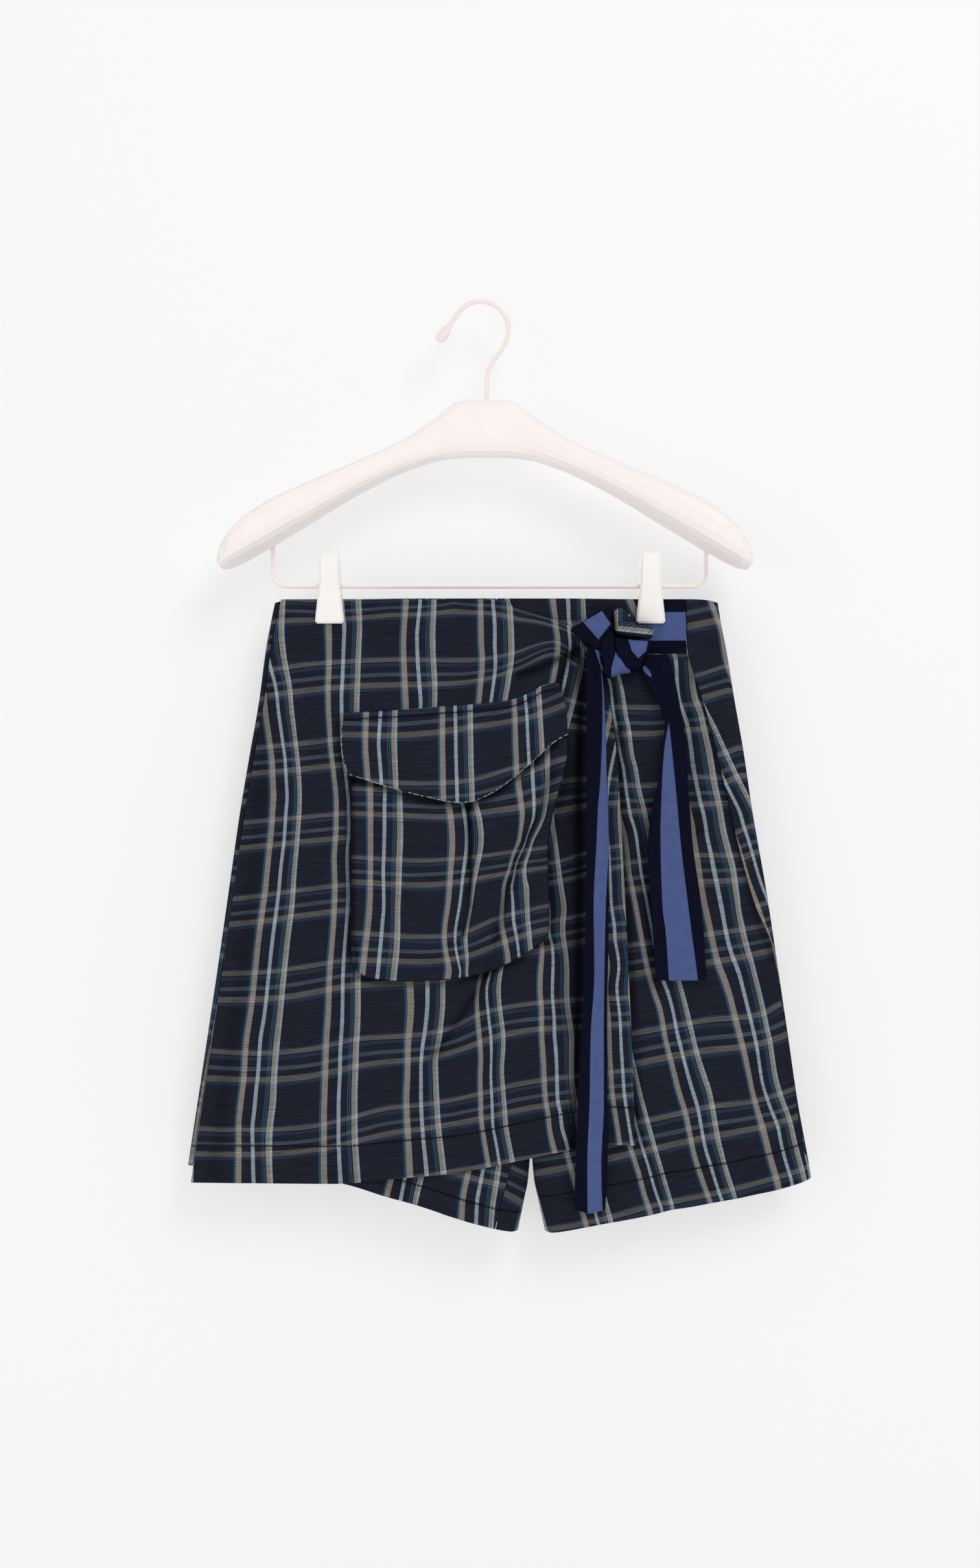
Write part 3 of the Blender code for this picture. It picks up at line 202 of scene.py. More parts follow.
POCKET_RIGHT = (
    Point(x=61.5, drop=86.0),
    Point(x=66.0, drop=112.0),
    Point(x=65.5, drop=122.0),
    Point(x=61.5, drop=140.0),
    Point(x=54.0, drop=168.0),
    Point(x=50.5, drop=196.0),
    Point(x=51.8, drop=235.0),
    Point(x=51.6, drop=252.0),
    Point(x=48.5, drop=262.0),
)
POCKET_OUT = 4.4
GUSSET = ((LAYER + 3.0, 1.008), (LAYER + 0.5, 1.010))
FLAP_OUT = 0.6
FLAP_RISE = 0.2
FLAP_TOP = (
    Point(x=-106.2, drop=88.0),
    Point(x=-70.0, drop=86.0),
    Point(x=-31.0, drop=83.0),
    Point(x=20.0, drop=78.5),
    Point(x=40.0, drop=71.5),
    Point(x=50.0, drop=65.5),
    Point(x=60.5, drop=64.8),
)
FLAP_RIGHT = (
    Point(x=60.5, drop=64.8),
    Point(x=63.5, drop=75.0),
    Point(x=65.5, drop=84.0),
    Point(x=67.2, drop=104.5),
)
FLAP_LEFT = (
    Point(x=-106.2, drop=88.0),
    Point(x=-106.8, drop=113.5),
    Point(x=-102.2, drop=135.0),
)
FLAP_BOTTOM = (
    Point(x=-102.2, drop=135.0),
    Point(x=-65.0, drop=146.5),
    Point(x=-44.0, drop=152.0),
    Point(x=-16.0, drop=157.0),
    Point(x=-9.0, drop=156.5),
    Point(x=7.0, drop=150.5),
    Point(x=36.0, drop=129.0),
    Point(x=58.0, drop=109.5),
    Point(x=67.2, drop=104.5),
)

# Folds: a path of points, its height towards the viewer and its half width
Fold = namedtuple("Fold", "path height width")
WRAP_FOLDS = (
    Fold(path=((78, 24), (50, 28), (18, 36), (-20, 46)), height=4.0, width=10.0),
    Fold(path=((70, 57), (56, 66), (36, 76), (10, 88)), height=4.0, width=10.0),
    Fold(path=((72, 56), (75, 74), (74, 92), (72, 112)), height=3.0, width=10.0),
    Fold(path=((62, 130), (58, 160), (46, 184), (30, 204), (16, 240)), height=2.4, width=13.0),
    Fold(path=((72, 160), (64, 196), (46, 222), (34, 260)), height=-1.8, width=13.0),
    Fold(path=((12, 300), (0, 330), (-18, 356)), height=3.0, width=13.0),
    Fold(path=((80, 90), (77, 150), (77, 300), (74, 425)), height=-1.6, width=12.0),
    Fold(path=((98, 130), (101, 330), (104, 425)), height=1.4, width=13.0),
    Fold(path=((-145, 60), (-150, 150), (-152, 240), (-170, 340), (-180, 450)), height=2.6, width=16.0),
    Fold(path=((-118, 120), (-120, 230), (-128, 340), (-132, 450)), height=-1.8, width=15.0),
    Fold(path=((-60, 320), (-66, 380), (-60, 450)), height=2.0, width=18.0),
    Fold(path=((20, 350), (34, 390), (42, 432)), height=2.6, width=14.0),
)
RIGHT_FRONT_FOLDS = (
    Fold(path=((150, 50), (150, 120), (158, 200), (176, 300), (196, 450)), height=2.6, width=13.0),
    Fold(path=((128, 130), (128, 220), (136, 330), (146, 470)), height=-3.0, width=10.0),
    Fold(path=((170, 90), (184, 160), (200, 240), (216, 300)), height=-2.4, width=8.0),
    Fold(path=((206, 300), (214, 380), (222, 450)), height=2.2, width=14.0),
)
LEFT_FRONT_FOLDS = (
    Fold(path=((-60, 380), (-56, 470)), height=-2.0, width=16.0),
    Fold(path=((4, 400), (2, 485)), height=-1.6, width=10.0),
)
LEFT_BACK_FOLDS = (
    Fold(path=((-120, 60), (-124, 160), (-134, 300), (-146, 440)), height=2.8, width=16.0),
    Fold(path=((-72, 120), (-74, 240), (-80, 350), (-88, 460)), height=-2.4, width=14.0),
    Fold(path=((-24, 90), (-22, 220), (-16, 340), (-10, 470)), height=2.4, width=15.0),
)
RIGHT_BACK_FOLDS = (
    Fold(path=((142, 70), (150, 180), (164, 310), (178, 450)), height=2.6, width=15.0),
    Fold(path=((96, 110), (102, 240), (112, 350), (120, 470)), height=-2.6, width=13.0),
    Fold(path=((196, 150), (208, 280), (224, 440)), height=-2.0, width=12.0),
    Fold(path=((60, 120), (64, 260), (74, 380), (80, 470)), height=2.0, width=13.0),
)
POCKET_PLEAT = Fold(
    path=((-9.5, 150), (-8.5, 196), (-7.5, 213), (-9, 235), (-11.5, 249), (-13.5, 258)),
    height=-2.4,
    width=2.6,
)

# Narrow creases that only the cloth's looks have
WRAP_CREASES = (
    Fold(path=((76, 37), (59, 43), (39, 52), (9, 60)), height=-2.6, width=3.6),
    Fold(path=((72, 49), (62, 54), (48, 62), (30, 72)), height=1.5, width=3.4),
    Fold(path=((68, 42), (62, 54), (59, 64)), height=-2.4, width=3.0),
    Fold(path=((79, 52), (78, 110), (77.5, 200), (77, 300), (73.5, 425)), height=-1.8, width=4.5),
    Fold(path=((66, 62), (66, 110), (64, 190), (64, 300), (60, 425)), height=1.8, width=5.5),
    Fold(path=((52, 132), (44, 168), (29, 193), (17, 232), (4, 288), (-3, 302), (-21, 330), (-38, 352)),
         height=-2.2, width=4.2),
    Fold(path=((62, 140), (54, 170), (40, 196), (28, 232), (16, 282), (8, 306), (-10, 334)), height=2.2,
         width=5.0),
    Fold(path=((-40, 18), (-36, 60), (-40, 96)), height=-1.2, width=6.0),
    Fold(path=((-140, 300), (-118, 330), (-84, 342)), height=1.0, width=6.0),
    Fold(path=((-100, 330), (-104, 380), (-100, 445)), height=-1.4, width=7.0),
    Fold(path=((10, 350), (16, 392), (14, 432)), height=-1.4, width=6.0),
    Fold(path=((74, 23), (44, 19), (10, 14), (-30, 12)), height=1.0, width=4.5),
    Fold(path=((60, 24), (30, 25), (-6, 30)), height=-0.9, width=4.0),
    Fold(path=((80, 50), (83, 62), (82, 78), (76, 96)), height=-1.5, width=3.4),
    Fold(path=((68, 118), (66, 140), (60, 158)), height=1.0, width=3.6),
    Fold(path=((55, 300), (28, 330), (6, 346)), height=0.9, width=6.0),
    Fold(path=((2, 292), (-6, 312), (-22, 336), (-42, 356)), height=-1.3, width=5.0),
    Fold(path=((-160, 60), (-156, 110), (-150, 160)), height=-0.8, width=7.0),
    Fold(path=((-172, 200), (-182, 280), (-196, 360), (-208, 430)), height=-1.0, width=7.0),
    Fold(path=((-120, 250), (-138, 262), (-160, 266)), height=0.6, width=6.0),
    Fold(path=((-40, 330), (-10, 372), (6, 412)), height=0.8, width=7.0),
    Fold(path=((92, 90), (94, 180), (96, 290), (100, 400)), height=0.7, width=4.0),
)
RIGHT_CREASES = (
    Fold(path=((152, 60), (158, 80), (170, 110)), height=-1.2, width=4.0),
    Fold(path=((160, 120), (172, 150), (186, 190)), height=0.9, width=4.5),
    Fold(path=((118, 110), (124, 150), (126, 190)), height=-1.0, width=5.0),
    Fold(path=((140, 300), (160, 322), (186, 330)), height=0.7, width=6.0),
    Fold(path=((118, 380), (140, 420), (150, 455)), height=-1.0, width=6.0),
    Fold(path=((206, 250), (214, 290), (218, 330)), height=-0.9, width=5.0),
    Fold(path=((182, 360), (196, 400), (200, 440)), height=-0.7, width=6.0),
    Fold(path=((60, 440), (70, 462), (84, 476)), height=0.8, width=5.0),
)
LEFT_CREASES = (
    Fold(path=((-30, 440), (-26, 470)), height=0.8, width=6.0),
)
BACK_CREASES = (
    Fold(path=((-150, 90), (-140, 150), (-146, 230)), height=-1.0, width=7.0),
    Fold(path=((-100, 200), (-96, 280), (-110, 370)), height=0.9, width=6.0),
    Fold(path=((-50, 60), (-46, 130), (-40, 190)), height=-0.9, width=6.0),
    Fold(path=((-190, 300), (-196, 370), (-204, 430)), height=1.0, width=6.0),
    Fold(path=((120, 60), (124, 140), (130, 200)), height=-1.0, width=6.0),
    Fold(path=((84, 180), (90, 260), (94, 330)), height=0.9, width=6.0),
    Fold(path=((180, 200), (192, 290), (198, 380)), height=0.9, width=7.0),
    Fold(path=((140, 330), (146, 400), (150, 460)), height=-1.0, width=7.0),
    Fold(path=((20, 200), (28, 270), (34, 320)), height=-0.8, width=5.0),
)

# Painted shade: where the cloth's colour is darkened for the shade in its creases, under its edges and beside
# the tails; height is how dark, 0 to 1
WRAP_SHADES = (
    Fold(path=((76.5, 44), (76, 110), (76, 200), (75.5, 300), (72, 425)), height=0.85, width=4.6),
    Fold(path=((75, 38), (68, 43), (60, 46), (47, 53), (30, 58)), height=0.75, width=3.4),
    Fold(path=((69, 44), (63, 56), (60, 66)), height=0.6, width=3.6),
    Fold(path=((4, 288), (-3, 303), (-21, 331), (-38, 354)), height=0.5, width=3.0),
    Fold(path=((66, 120), (68, 150), (64, 240), (66, 330)), height=0.35, width=7.0),
    Fold(path=((-102, 138), (-101.6, 200), (-101.4, 270), (-97, 287)), height=0.65, width=2.4),
    Fold(path=((-95, 291), (-84, 295), (-58, 297), (-26, 295), (0, 291), (29, 279), (48, 267)), height=0.6,
         width=2.6),
    Fold(path=((-109, 92), (-109.5, 113), (-105, 136)), height=0.45, width=2.0),
    Fold(path=((54, 266), (55, 235), (54, 196), (58, 168), (66, 138)), height=0.45, width=3.0),
    Fold(path=((-165, 70), (-170, 160), (-184, 290), (-206, 440)), height=0.25, width=6.0),
)
POCKET_SHADES = (
    Fold(path=((-102, 138), (-65, 149), (-44, 154.5), (-16, 160), (-9, 159), (7, 153), (36, 131.5),
               (58, 112)), height=0.75, width=3.2),
    Fold(path=((-9.5, 156), (-8.5, 196), (-7.5, 213), (-9, 235), (-11.5, 249), (-13.5, 258)), height=0.9,
         width=2.4),
    Fold(path=((56, 130), (46, 168), (31, 194), (19, 232), (12, 262)), height=0.45, width=4.0),
    Fold(path=((-99, 140), (-98.5, 200), (-98.5, 260), (-96, 282)), height=0.6, width=2.2),
)
RIGHT_SHADES = (
    Fold(path=((105, 102), (110, 165), (114, 241), (118.5, 335), (121.5, 421)), height=0.6, width=3.6),
    Fold(path=((132, 160), (129, 200), (131, 240), (135, 292)), height=0.55, width=5.0),
    Fold(path=((160, 45), (174.5, 92), (186, 140), (197.6, 190), (211, 240), (225, 277)), height=0.5,
         width=2.6),
    Fold(path=((122, 44), (159, 45)), height=0.4, width=2.4),
    Fold(path=((95, 60), (104, 78), (108, 110)), height=0.4, width=3.0),
    Fold(path=((160, 60), (162, 120), (168, 180)), height=0.35, width=4.0),
)

LongTail = namedtuple("LongTail", "drop front_x fold_x back_x front_y back_y")
LONG_TAIL = (
    LongTail(drop=36.3, front_x=82.6, fold_x=90.4, back_x=84.0, front_y=-22.6, back_y=-20.0),
    LongTail(drop=60.0, front_x=81.9, fold_x=93.2, back_x=84.0, front_y=-25.5, back_y=-20.6),
    LongTail(drop=90.0, front_x=81.8, fold_x=95.2, back_x=83.5, front_y=-26.5, back_y=-20.6),
    LongTail(drop=140.0, front_x=81.8, fold_x=97.2, back_x=83.5, front_y=-27.5, back_y=-20.5),
    LongTail(drop=200.0, front_x=81.6, fold_x=98.2, back_x=83.5, front_y=-28.5, back_y=-21.0),
    LongTail(drop=260.0, front_x=80.8, fold_x=97.8, back_x=83.0, front_y=-28.5, back_y=-21.5),
    LongTail(drop=320.0, front_x=78.5, fold_x=96.8, back_x=81.5, front_y=-28.5, back_y=-21.5),
    LongTail(drop=380.0, front_x=75.6, fold_x=96.8, back_x=79.5, front_y=-28.0, back_y=-21.5),
    LongTail(drop=430.0, front_x=73.4, fold_x=97.2, back_x=77.5, front_y=-27.5, back_y=-21.5),
    LongTail(drop=471.0, front_x=72.2, fold_x=95.4, back_x=76.5, front_y=-27.0, back_y=-21.5),
)
LONG_TAIL_TOP_SLANT = 3.4
LONG_TAIL_END_SLANT = 6.0
LONG_TAIL_ROWS = 19
ShortTail = namedtuple("ShortTail", "drop left right y open")
SHORT_TAIL = (
    ShortTail(drop=43.0, left=129.0, right=145.0, y=-11.4, open=0.0),
    ShortTail(drop=55.0, left=124.8, right=148.0, y=-13.6, open=0.0),
    ShortTail(drop=68.0, left=131.0, right=151.0, y=-17.0, open=0.0),
    ShortTail(drop=82.0, left=139.0, right=153.6, y=-20.5, open=0.0),
    ShortTail(drop=98.0, left=143.2, right=156.8, y=-23.0, open=0.0),
    ShortTail(drop=114.0, left=140.2, right=158.6, y=-23.5, open=0.15),
    ShortTail(drop=140.0, left=137.6, right=160.0, y=-23.5, open=0.35),
    ShortTail(drop=168.0, left=131.8, right=161.8, y=-23.0, open=0.75),
    ShortTail(drop=190.0, left=129.3, right=163.6, y=-22.5, open=0.95),
    ShortTail(drop=237.5, left=131.8, right=170.2, y=-21.5, open=1.0),
    ShortTail(drop=294.0, left=135.6, right=174.3, y=-21.0, open=1.0),
)
BAND_TOP = (
    Point(x=122.0, drop=14.0),
    Point(x=132.0, drop=1.5),
    Point(x=140.0, drop=0.2),
    Point(x=157.8, drop=0.2),
)
BAND_BOTTOM = (
    Point(x=122.0, drop=38.0),
    Point(x=132.0, drop=41.5),
    Point(x=158.8, drop=42.0),
)
KNOT_OUTLINE = (
    Point(x=70.5, drop=24.0),
    Point(x=79.0, drop=17.0),
    Point(x=88.0, drop=10.5),
    Point(x=97.0, drop=4.0),
    Point(x=100.5, drop=3.5),
    Point(x=101.8, drop=8.0),
    Point(x=101.4, drop=17.0),
    Point(x=102.6, drop=27.2),
    Point(x=112.0, drop=30.2),
    Point(x=123.0, drop=31.4),
    Point(x=130.4, drop=32.4),
    Point(x=130.6, drop=37.5),
    Point(x=127.6, drop=43.5),
    Point(x=122.5, drop=54.5),
    Point(x=108.0, drop=58.0),
    Point(x=96.5, drop=60.5),
    Point(x=94.0, drop=46.0),
    Point(x=91.5, drop=38.9),
    Point(x=84.0, drop=36.5),
)
KNOT_MIDDLE = Point(x=98.0, drop=36.0)
KNOT_TOP = 26.5
CORNER_OUTLINE = (
    Point(x=102.8, drop=9.0),
    Point(x=108.5, drop=6.8),
    Point(x=114.5, drop=11.0),
    Point(x=117.8, drop=17.0),
    Point(x=122.0, drop=20.0),
    Point(x=130.0, drop=20.6),
    Point(x=133.4, drop=24.5),
    Point(x=131.0, drop=30.4),
    Point(x=123.0, drop=30.0),
    Point(x=112.6, drop=28.8),
    Point(x=104.0, drop=26.0),
    Point(x=102.6, drop=17.0),
)
CORNER_MIDDLE = Point(x=112.5, drop=20.5)
CORNER_TOP = 23.0
CORNER_FOLDS = (
    Fold(path=((105, 12), (116, 21), (132, 25)), height=1.2, width=4.0),
    Fold(path=((104, 24), (118, 26), (130, 28)), height=-1.0, width=4.0),
)
KNOT_CLEARANCE = 0.6
LUMP_EDGE = 2.4
LUMP_RINGS = (*np.linspace(0.02, 0.94, 47), 0.96, 0.975, 0.99, 1.0)
LUMP_BACK_RINGS = (0.97, 0.66, 0.33)
LUMP_SPOKES = 260

# ---- The plaid: where its lines run ----
# Charts are in half millimetres, across from 741.5 and down from 925 at the waist's top edge.
CHART = 0.5
CHART_ACROSS = 741.5
CHART_DOWN = 925.0
WARP_REPEAT = 58.5
WEFT_REPEAT = 59.0
# Places in the repeat of the lines that the charts follow
EDGE_LINE = 3.0
WHITE_LINE = 14.0
PAIR_LINE = 21.25
TAN_LINE = 25.6
FIRST_WEFT = 2.75
GRAY_WEFT = 14.6
LAST_WEFT = 23.5

Line = namedtuple("Line", "repeat place at")
WRAP_WARP = (
    Line(-1, EDGE_LINE, ((402, 1050), (409, 1100), (416, 1150), (420, 1200), (420, 1250), (415, 1310),
                         (408, 1380), (402, 1420), (395, 1480), (385, 1570), (375, 1670), (368, 1760),
                         (367, 1820))),
    Line(0, EDGE_LINE, ((503, 930), (506, 980), (505, 1060), (506, 1100), (509, 1150), (515, 1200),
                        (518, 1260), (515, 1320), (515, 1400), (512, 1450), (508, 1500), (506, 1550),
                        (503, 1600), (500, 1680), (499, 1760), (499, 1820))),
    Line(1, EDGE_LINE, ((625, 930), (622, 980), (622, 1020), (624, 1070), (625, 1095), (630, 1510),
                        (629, 1600), (628, 1650), (626, 1700), (628, 1750), (631, 1815))),
    Line(2, EDGE_LINE, ((741, 930), (743, 1015), (740, 1060), (738, 1085), (745, 1495), (736, 1540),
                        (737, 1580), (741, 1640), (741, 1700), (745, 1750), (753, 1800))),
    Line(3, EDGE_LINE, ((855, 955), (860, 990), (835, 1455), (833, 1500), (834, 1550), (835, 1600),
                        (838, 1650), (840, 1690), (845, 1720), (855, 1778))),
    Line(4, EDGE_LINE, ((937, 1490), (939, 1600), (941, 1650), (945, 1700), (955, 1765))),
    Line(-1, WHITE_LINE, ((410, 1000), (420, 1040), (430, 1100), (440, 1170), (443, 1230), (438, 1300),
                          (427, 1400), (415, 1500), (402, 1600), (395, 1680), (389, 1740), (391, 1820))),
    Line(0, WHITE_LINE, ((531, 970), (528, 1050), (527, 1100), (537, 1230), (538, 1280), (537, 1380),
                         (531, 1470), (528, 1570), (524, 1660), (522, 1760), (525, 1825))),
    Line(1, WHITE_LINE, ((648, 930), (643, 980), (649, 1085), (659, 1512), (654, 1600), (649, 1650),
                         (652, 1750), (658, 1812))),
    Line(2, WHITE_LINE, ((760, 930), (763, 1000), (757, 1085), (752, 1520), (757, 1600), (760, 1740),
                         (770, 1795))),
    Line(3, WHITE_LINE, ((845, 1390), (847, 1440), (852, 1540), (855, 1600), (860, 1700), (866, 1740),
                         (876, 1775))),
    Line(4, WHITE_LINE, ((940, 1340), (943, 1400), (948, 1450), (951, 1520), (955, 1560), (958, 1620),
                         (962, 1680), (975, 1768))),
    Line(4, PAIR_LINE, ((948, 1255), (953, 1330), (962, 1430), (966, 1500), (967, 1560), (972, 1620),
                        (976, 1680))),
    Line(-1, TAN_LINE, ((436, 930), (436, 1000), (447, 1060), (453, 1120), (461, 1200), (458, 1300),
                        (450, 1400), (438, 1500), (428, 1600), (421, 1700), (415, 1800))),
    Line(0, TAN_LINE, ((553, 930), (551, 1060), (552, 1505), (549, 1620), (547, 1680), (552, 1825))),
    Line(1, TAN_LINE, ((669, 930), (667, 985), (670, 1090), (683, 1512), (683, 1550), (679, 1590),
                       (672, 1630), (676, 1740), (684, 1810))),
    Line(2, TAN_LINE, ((786, 935), (789, 1000), (784, 1050), (772, 1500), (776, 1600), (774, 1650),
                       (779, 1720), (790, 1790))),
    Line(3, TAN_LINE, ((850, 1255), (856, 1300), (863, 1350), (870, 1400), (874, 1500), (882, 1600),
                       (887, 1700), (893, 1740))),
)
WRAP_WEFT = (
    Line(0, FIRST_WEFT, ((430, 927), (490, 927), (600, 923), (700, 921))),
    Line(0, GRAY_WEFT, ((440, 943), (600, 938), (700, 930), (800, 942), (850, 957), (885, 972))),
    Line(0, LAST_WEFT, ((440, 960), (620, 950), (700, 946), (760, 948), (800, 957), (850, 967), (880, 977))),
    Line(1, FIRST_WEFT, ((410, 1035), (480, 1025), (560, 1020), (660, 1019), (740, 1018), (800, 1006),
                         (860, 990))),
    Line(2, FIRST_WEFT, ((390, 1155), (470, 1147), (530, 1140))),
    Line(3, FIRST_WEFT, ((372, 1270), (460, 1262), (535, 1255))),
    Line(4, FIRST_WEFT, ((355, 1388), (440, 1377), (520, 1367), (860, 1330))),
    Line(5, FIRST_WEFT, ((335, 1503), (430, 1498), (520, 1484), (860, 1420), (960, 1400))),
    Line(5, LAST_WEFT, ((540, 1523), (650, 1517), (708, 1508), (750, 1490), (860, 1462), (960, 1446))),
    Line(6, FIRST_WEFT, ((322, 1622), (380, 1625), (500, 1615), (540, 1605), (600, 1600), (660, 1595),
                         (700, 1585), (740, 1565), (780, 1555), (860, 1545), (970, 1540))),
    Line(7, FIRST_WEFT, ((305, 1742), (440, 1742), (500, 1735), (540, 1725), (600, 1710), (650, 1705),
                         (700, 1697), (760, 1683), (800, 1673), (860, 1664), (970, 1652))),
)
FLAP_WARP = (
    Line(0, EDGE_LINE, ((564, 1100), (563, 1150), (566, 1200))),
    Line(0, WHITE_LINE, ((587, 1100), (584, 1150), (588, 1200))),
    Line(0, TAN_LINE, ((609, 1100), (608, 1150), (610, 1212))),
    Line(1, EDGE_LINE, ((682, 1095), (682, 1160), (683, 1230))),
    Line(1, WHITE_LINE, ((702, 1095), (703, 1160), (705, 1230))),
    Line(1, TAN_LINE, ((725, 1088), (726, 1160), (728, 1233))),
    Line(2, EDGE_LINE, ((793, 1082), (796, 1190))),
    Line(2, WHITE_LINE, ((810, 1076), (816, 1180))),
    Line(2, TAN_LINE, ((831, 1066), (836, 1160))),
)
FLAP_WEFT = (
    Line(1, GRAY_WEFT, ((530, 1117), (600, 1118), (720, 1107), (780, 1098), (865, 1072))),
    Line(1, LAST_WEFT, ((530, 1135), (600, 1137), (720, 1125), (830, 1105))),
    Line(2, FIRST_WEFT, ((565, 1205), (720, 1205), (760, 1195), (800, 1183))),
)
POCKET_WARP = (
    Line(0, EDGE_LINE, ((570, 1215), (571, 1340), (569, 1400), (564, 1450), (558, 1500))),
    Line(0, WHITE_LINE, ((594, 1215), (591, 1340), (592, 1400), (583, 1500))),
    Line(0, TAN_LINE, ((616, 1225), (613, 1400), (607, 1505))),
    Line(1, EDGE_LINE, ((691, 1240), (690, 1400), (690, 1505))),
    Line(1, WHITE_LINE, ((714, 1245), (711, 1380), (711, 1500))),
    Line(1, TAN_LINE, ((732, 1235), (733, 1350), (726, 1400), (718, 1450), (719, 1500))),
    Line(2, EDGE_LINE, ((798, 1205), (803, 1240), (804, 1270), (799, 1300), (786, 1340), (776, 1380),
                        (773, 1420), (778, 1450), (783, 1480))),
    Line(2, WHITE_LINE, ((823, 1230), (822, 1265), (812, 1300), (795, 1340), (789, 1370), (795, 1440),
                         (800, 1475))),
    Line(2, TAN_LINE, ((845, 1210), (842, 1240), (835, 1270), (820, 1300), (811, 1330), (812, 1370),
                       (815, 1430), (818, 1465))),
)
POCKET_WEFT = (
    Line(2, FIRST_WEFT, ((548, 1217), (690, 1219))),
    Line(2, GRAY_WEFT, ((548, 1241), (690, 1245), (780, 1230), (870, 1200))),
    Line(2, LAST_WEFT, ((548, 1257), (690, 1262), (790, 1250), (870, 1225))),
    Line(3, FIRST_WEFT, ((550, 1323), (690, 1326), (790, 1315), (840, 1308))),
    Line(4, FIRST_WEFT, ((545, 1440), (680, 1445), (720, 1438), (760, 1420), (800, 1408), (845, 1398))),
)
RIGHT_WARP = (
    Line(0, EDGE_LINE, ((973, 1775), (995, 1850), (1003, 1875))),
    Line(0, WHITE_LINE, ((978, 1725), (1000, 1800), (1020, 1865))),
    Line(0, TAN_LINE, ((976, 1640), (990, 1700), (1015, 1790), (1037, 1865))),
    Line(1, WHITE_LINE, ((876, 930), (878, 962), (940, 1050), (948, 1110), (958, 1170), (972, 1260),
                         (985, 1320), (997, 1390), (1025, 1520), (1045, 1600), (1070, 1690), (1090, 1780),
                         (1112, 1850))),
    Line(1, PAIR_LINE, ((892, 930), (893, 956), (950, 1050), (962, 1120), (972, 1180), (985, 1250),
                        (995, 1310), (1042, 1520), (1062, 1600), (1087, 1690), (1108, 1790), (1128, 1850))),
    Line(1, TAN_LINE, ((899, 930), (900, 956), (955, 1050), (966, 1110), (975, 1170), (985, 1220),
                       (1003, 1300), (1048, 1520), (1068, 1600), (1095, 1690), (1115, 1790), (1133, 1850))),
    Line(1, EDGE_LINE, ((961, 1280), (970, 1350), (980, 1400), (989, 1450), (1003, 1515), (1018, 1560),
                        (1025, 1600), (1035, 1640), (1045, 1680), (1057, 1720), (1065, 1760), (1075, 1800),
                        (1095, 1855))),
    Line(2, EDGE_LINE, ((972, 930), (1066, 1270), (1075, 1330), (1083, 1385), (1095, 1440), (1107, 1490),
                        (1135, 1580), (1157, 1670), (1177, 1750), (1200, 1835))),
    Line(2, WHITE_LINE, ((1040, 1010), (1060, 1120), (1068, 1180), (1080, 1240), (1090, 1290), (1100, 1340),
                         (1112, 1400), (1135, 1490), (1157, 1570), (1175, 1670), (1200, 1740), (1220, 1820))),
    Line(2, PAIR_LINE, ((1057, 1010), (1062, 1080), (1075, 1120), (1085, 1170), (1098, 1240), (1120, 1340),
                        (1130, 1400), (1155, 1500), (1178, 1600), (1202, 1710), (1235, 1830))),
    Line(2, TAN_LINE, ((1062, 1010), (1070, 1070), (1080, 1100), (1100, 1200), (1122, 1310), (1138, 1400),
                       (1162, 1500), (1183, 1590), (1200, 1680), (1222, 1750), (1240, 1825))),
)
RIGHT_WEFT = (
    Line(0, FIRST_WEFT, ((880, 962), (970, 968))),
    Line(1, FIRST_WEFT, ((970, 1092), (1015, 1092))),
    Line(2, FIRST_WEFT, ((965, 1212), (1010, 1212), (1063, 1200), (1110, 1200))),
    Line(3, FIRST_WEFT, ((1075, 1320), (1130, 1320))),
    Line(4, FIRST_WEFT, ((1090, 1442), (1170, 1430))),
    Line(5, FIRST_WEFT, ((975, 1595), (1040, 1583), (1100, 1573), (1180, 1563), (1205, 1548))),
    Line(6, FIRST_WEFT, ((980, 1733), (1040, 1720), (1100, 1707), (1160, 1700), (1228, 1680))),
    Line(7, FIRST_WEFT, ((860, 1895), (935, 1880), (1000, 1862), (1060, 1850), (1120, 1838), (1180, 1822),
                         (1245, 1803))),
)
RIGHT_BACK_WARP = (
    Line(0, EDGE_LINE, ((1137, 1305), (1165, 1390), (1195, 1480))),
    Line(0, WHITE_LINE, ((1110, 1190), (1145, 1270), (1172, 1360), (1183, 1390))),
    Line(0, PAIR_LINE, ((1095, 1125), (1155, 1250))),
    Line(0, TAN_LINE, ((1086, 1093), (1125, 1175), (1157, 1240))),
    Line(1, EDGE_LINE, ((1096, 930), (1112, 975), (1119, 1020))),
)
RIGHT_BACK_WEFT = (
    Line(0, GRAY_WEFT, ((1058, 947), (1100, 937))),
    Line(0, LAST_WEFT, ((1058, 970), (1105, 960))),
    Line(1, FIRST_WEFT, ((1075, 1043), (1120, 1028))),
    Line(1, GRAY_WEFT, ((1078, 1062), (1128, 1048))),
    Line(1, LAST_WEFT, ((1082, 1080), (1130, 1065))),
    Line(2, FIRST_WEFT, ((1110, 1165), (1150, 1150))),
    Line(3, FIRST_WEFT, ((1135, 1285), (1165, 1272))),
    Line(4, FIRST_WEFT, ((1165, 1400), (1190, 1390))),
)
LEFT_WARP = (
    Line(0, EDGE_LINE, ((602, 1822), (596, 1844))),
    Line(0, WHITE_LINE, ((624, 1820), (617, 1854))),
    Line(0, PAIR_LINE, ((639, 1820), (632, 1859))),
    Line(0, TAN_LINE, ((649, 1820), (639, 1861))),
    Line(1, EDGE_LINE, ((721, 1810), (713, 1849), (711, 1878))),
    Line(1, WHITE_LINE, ((745, 1805), (736, 1849), (734, 1885))),
    Line(1, PAIR_LINE, ((760, 1803), (753, 1849), (749, 1890))),
    Line(1, TAN_LINE, ((769, 1800), (760, 1856), (757, 1893))),
)
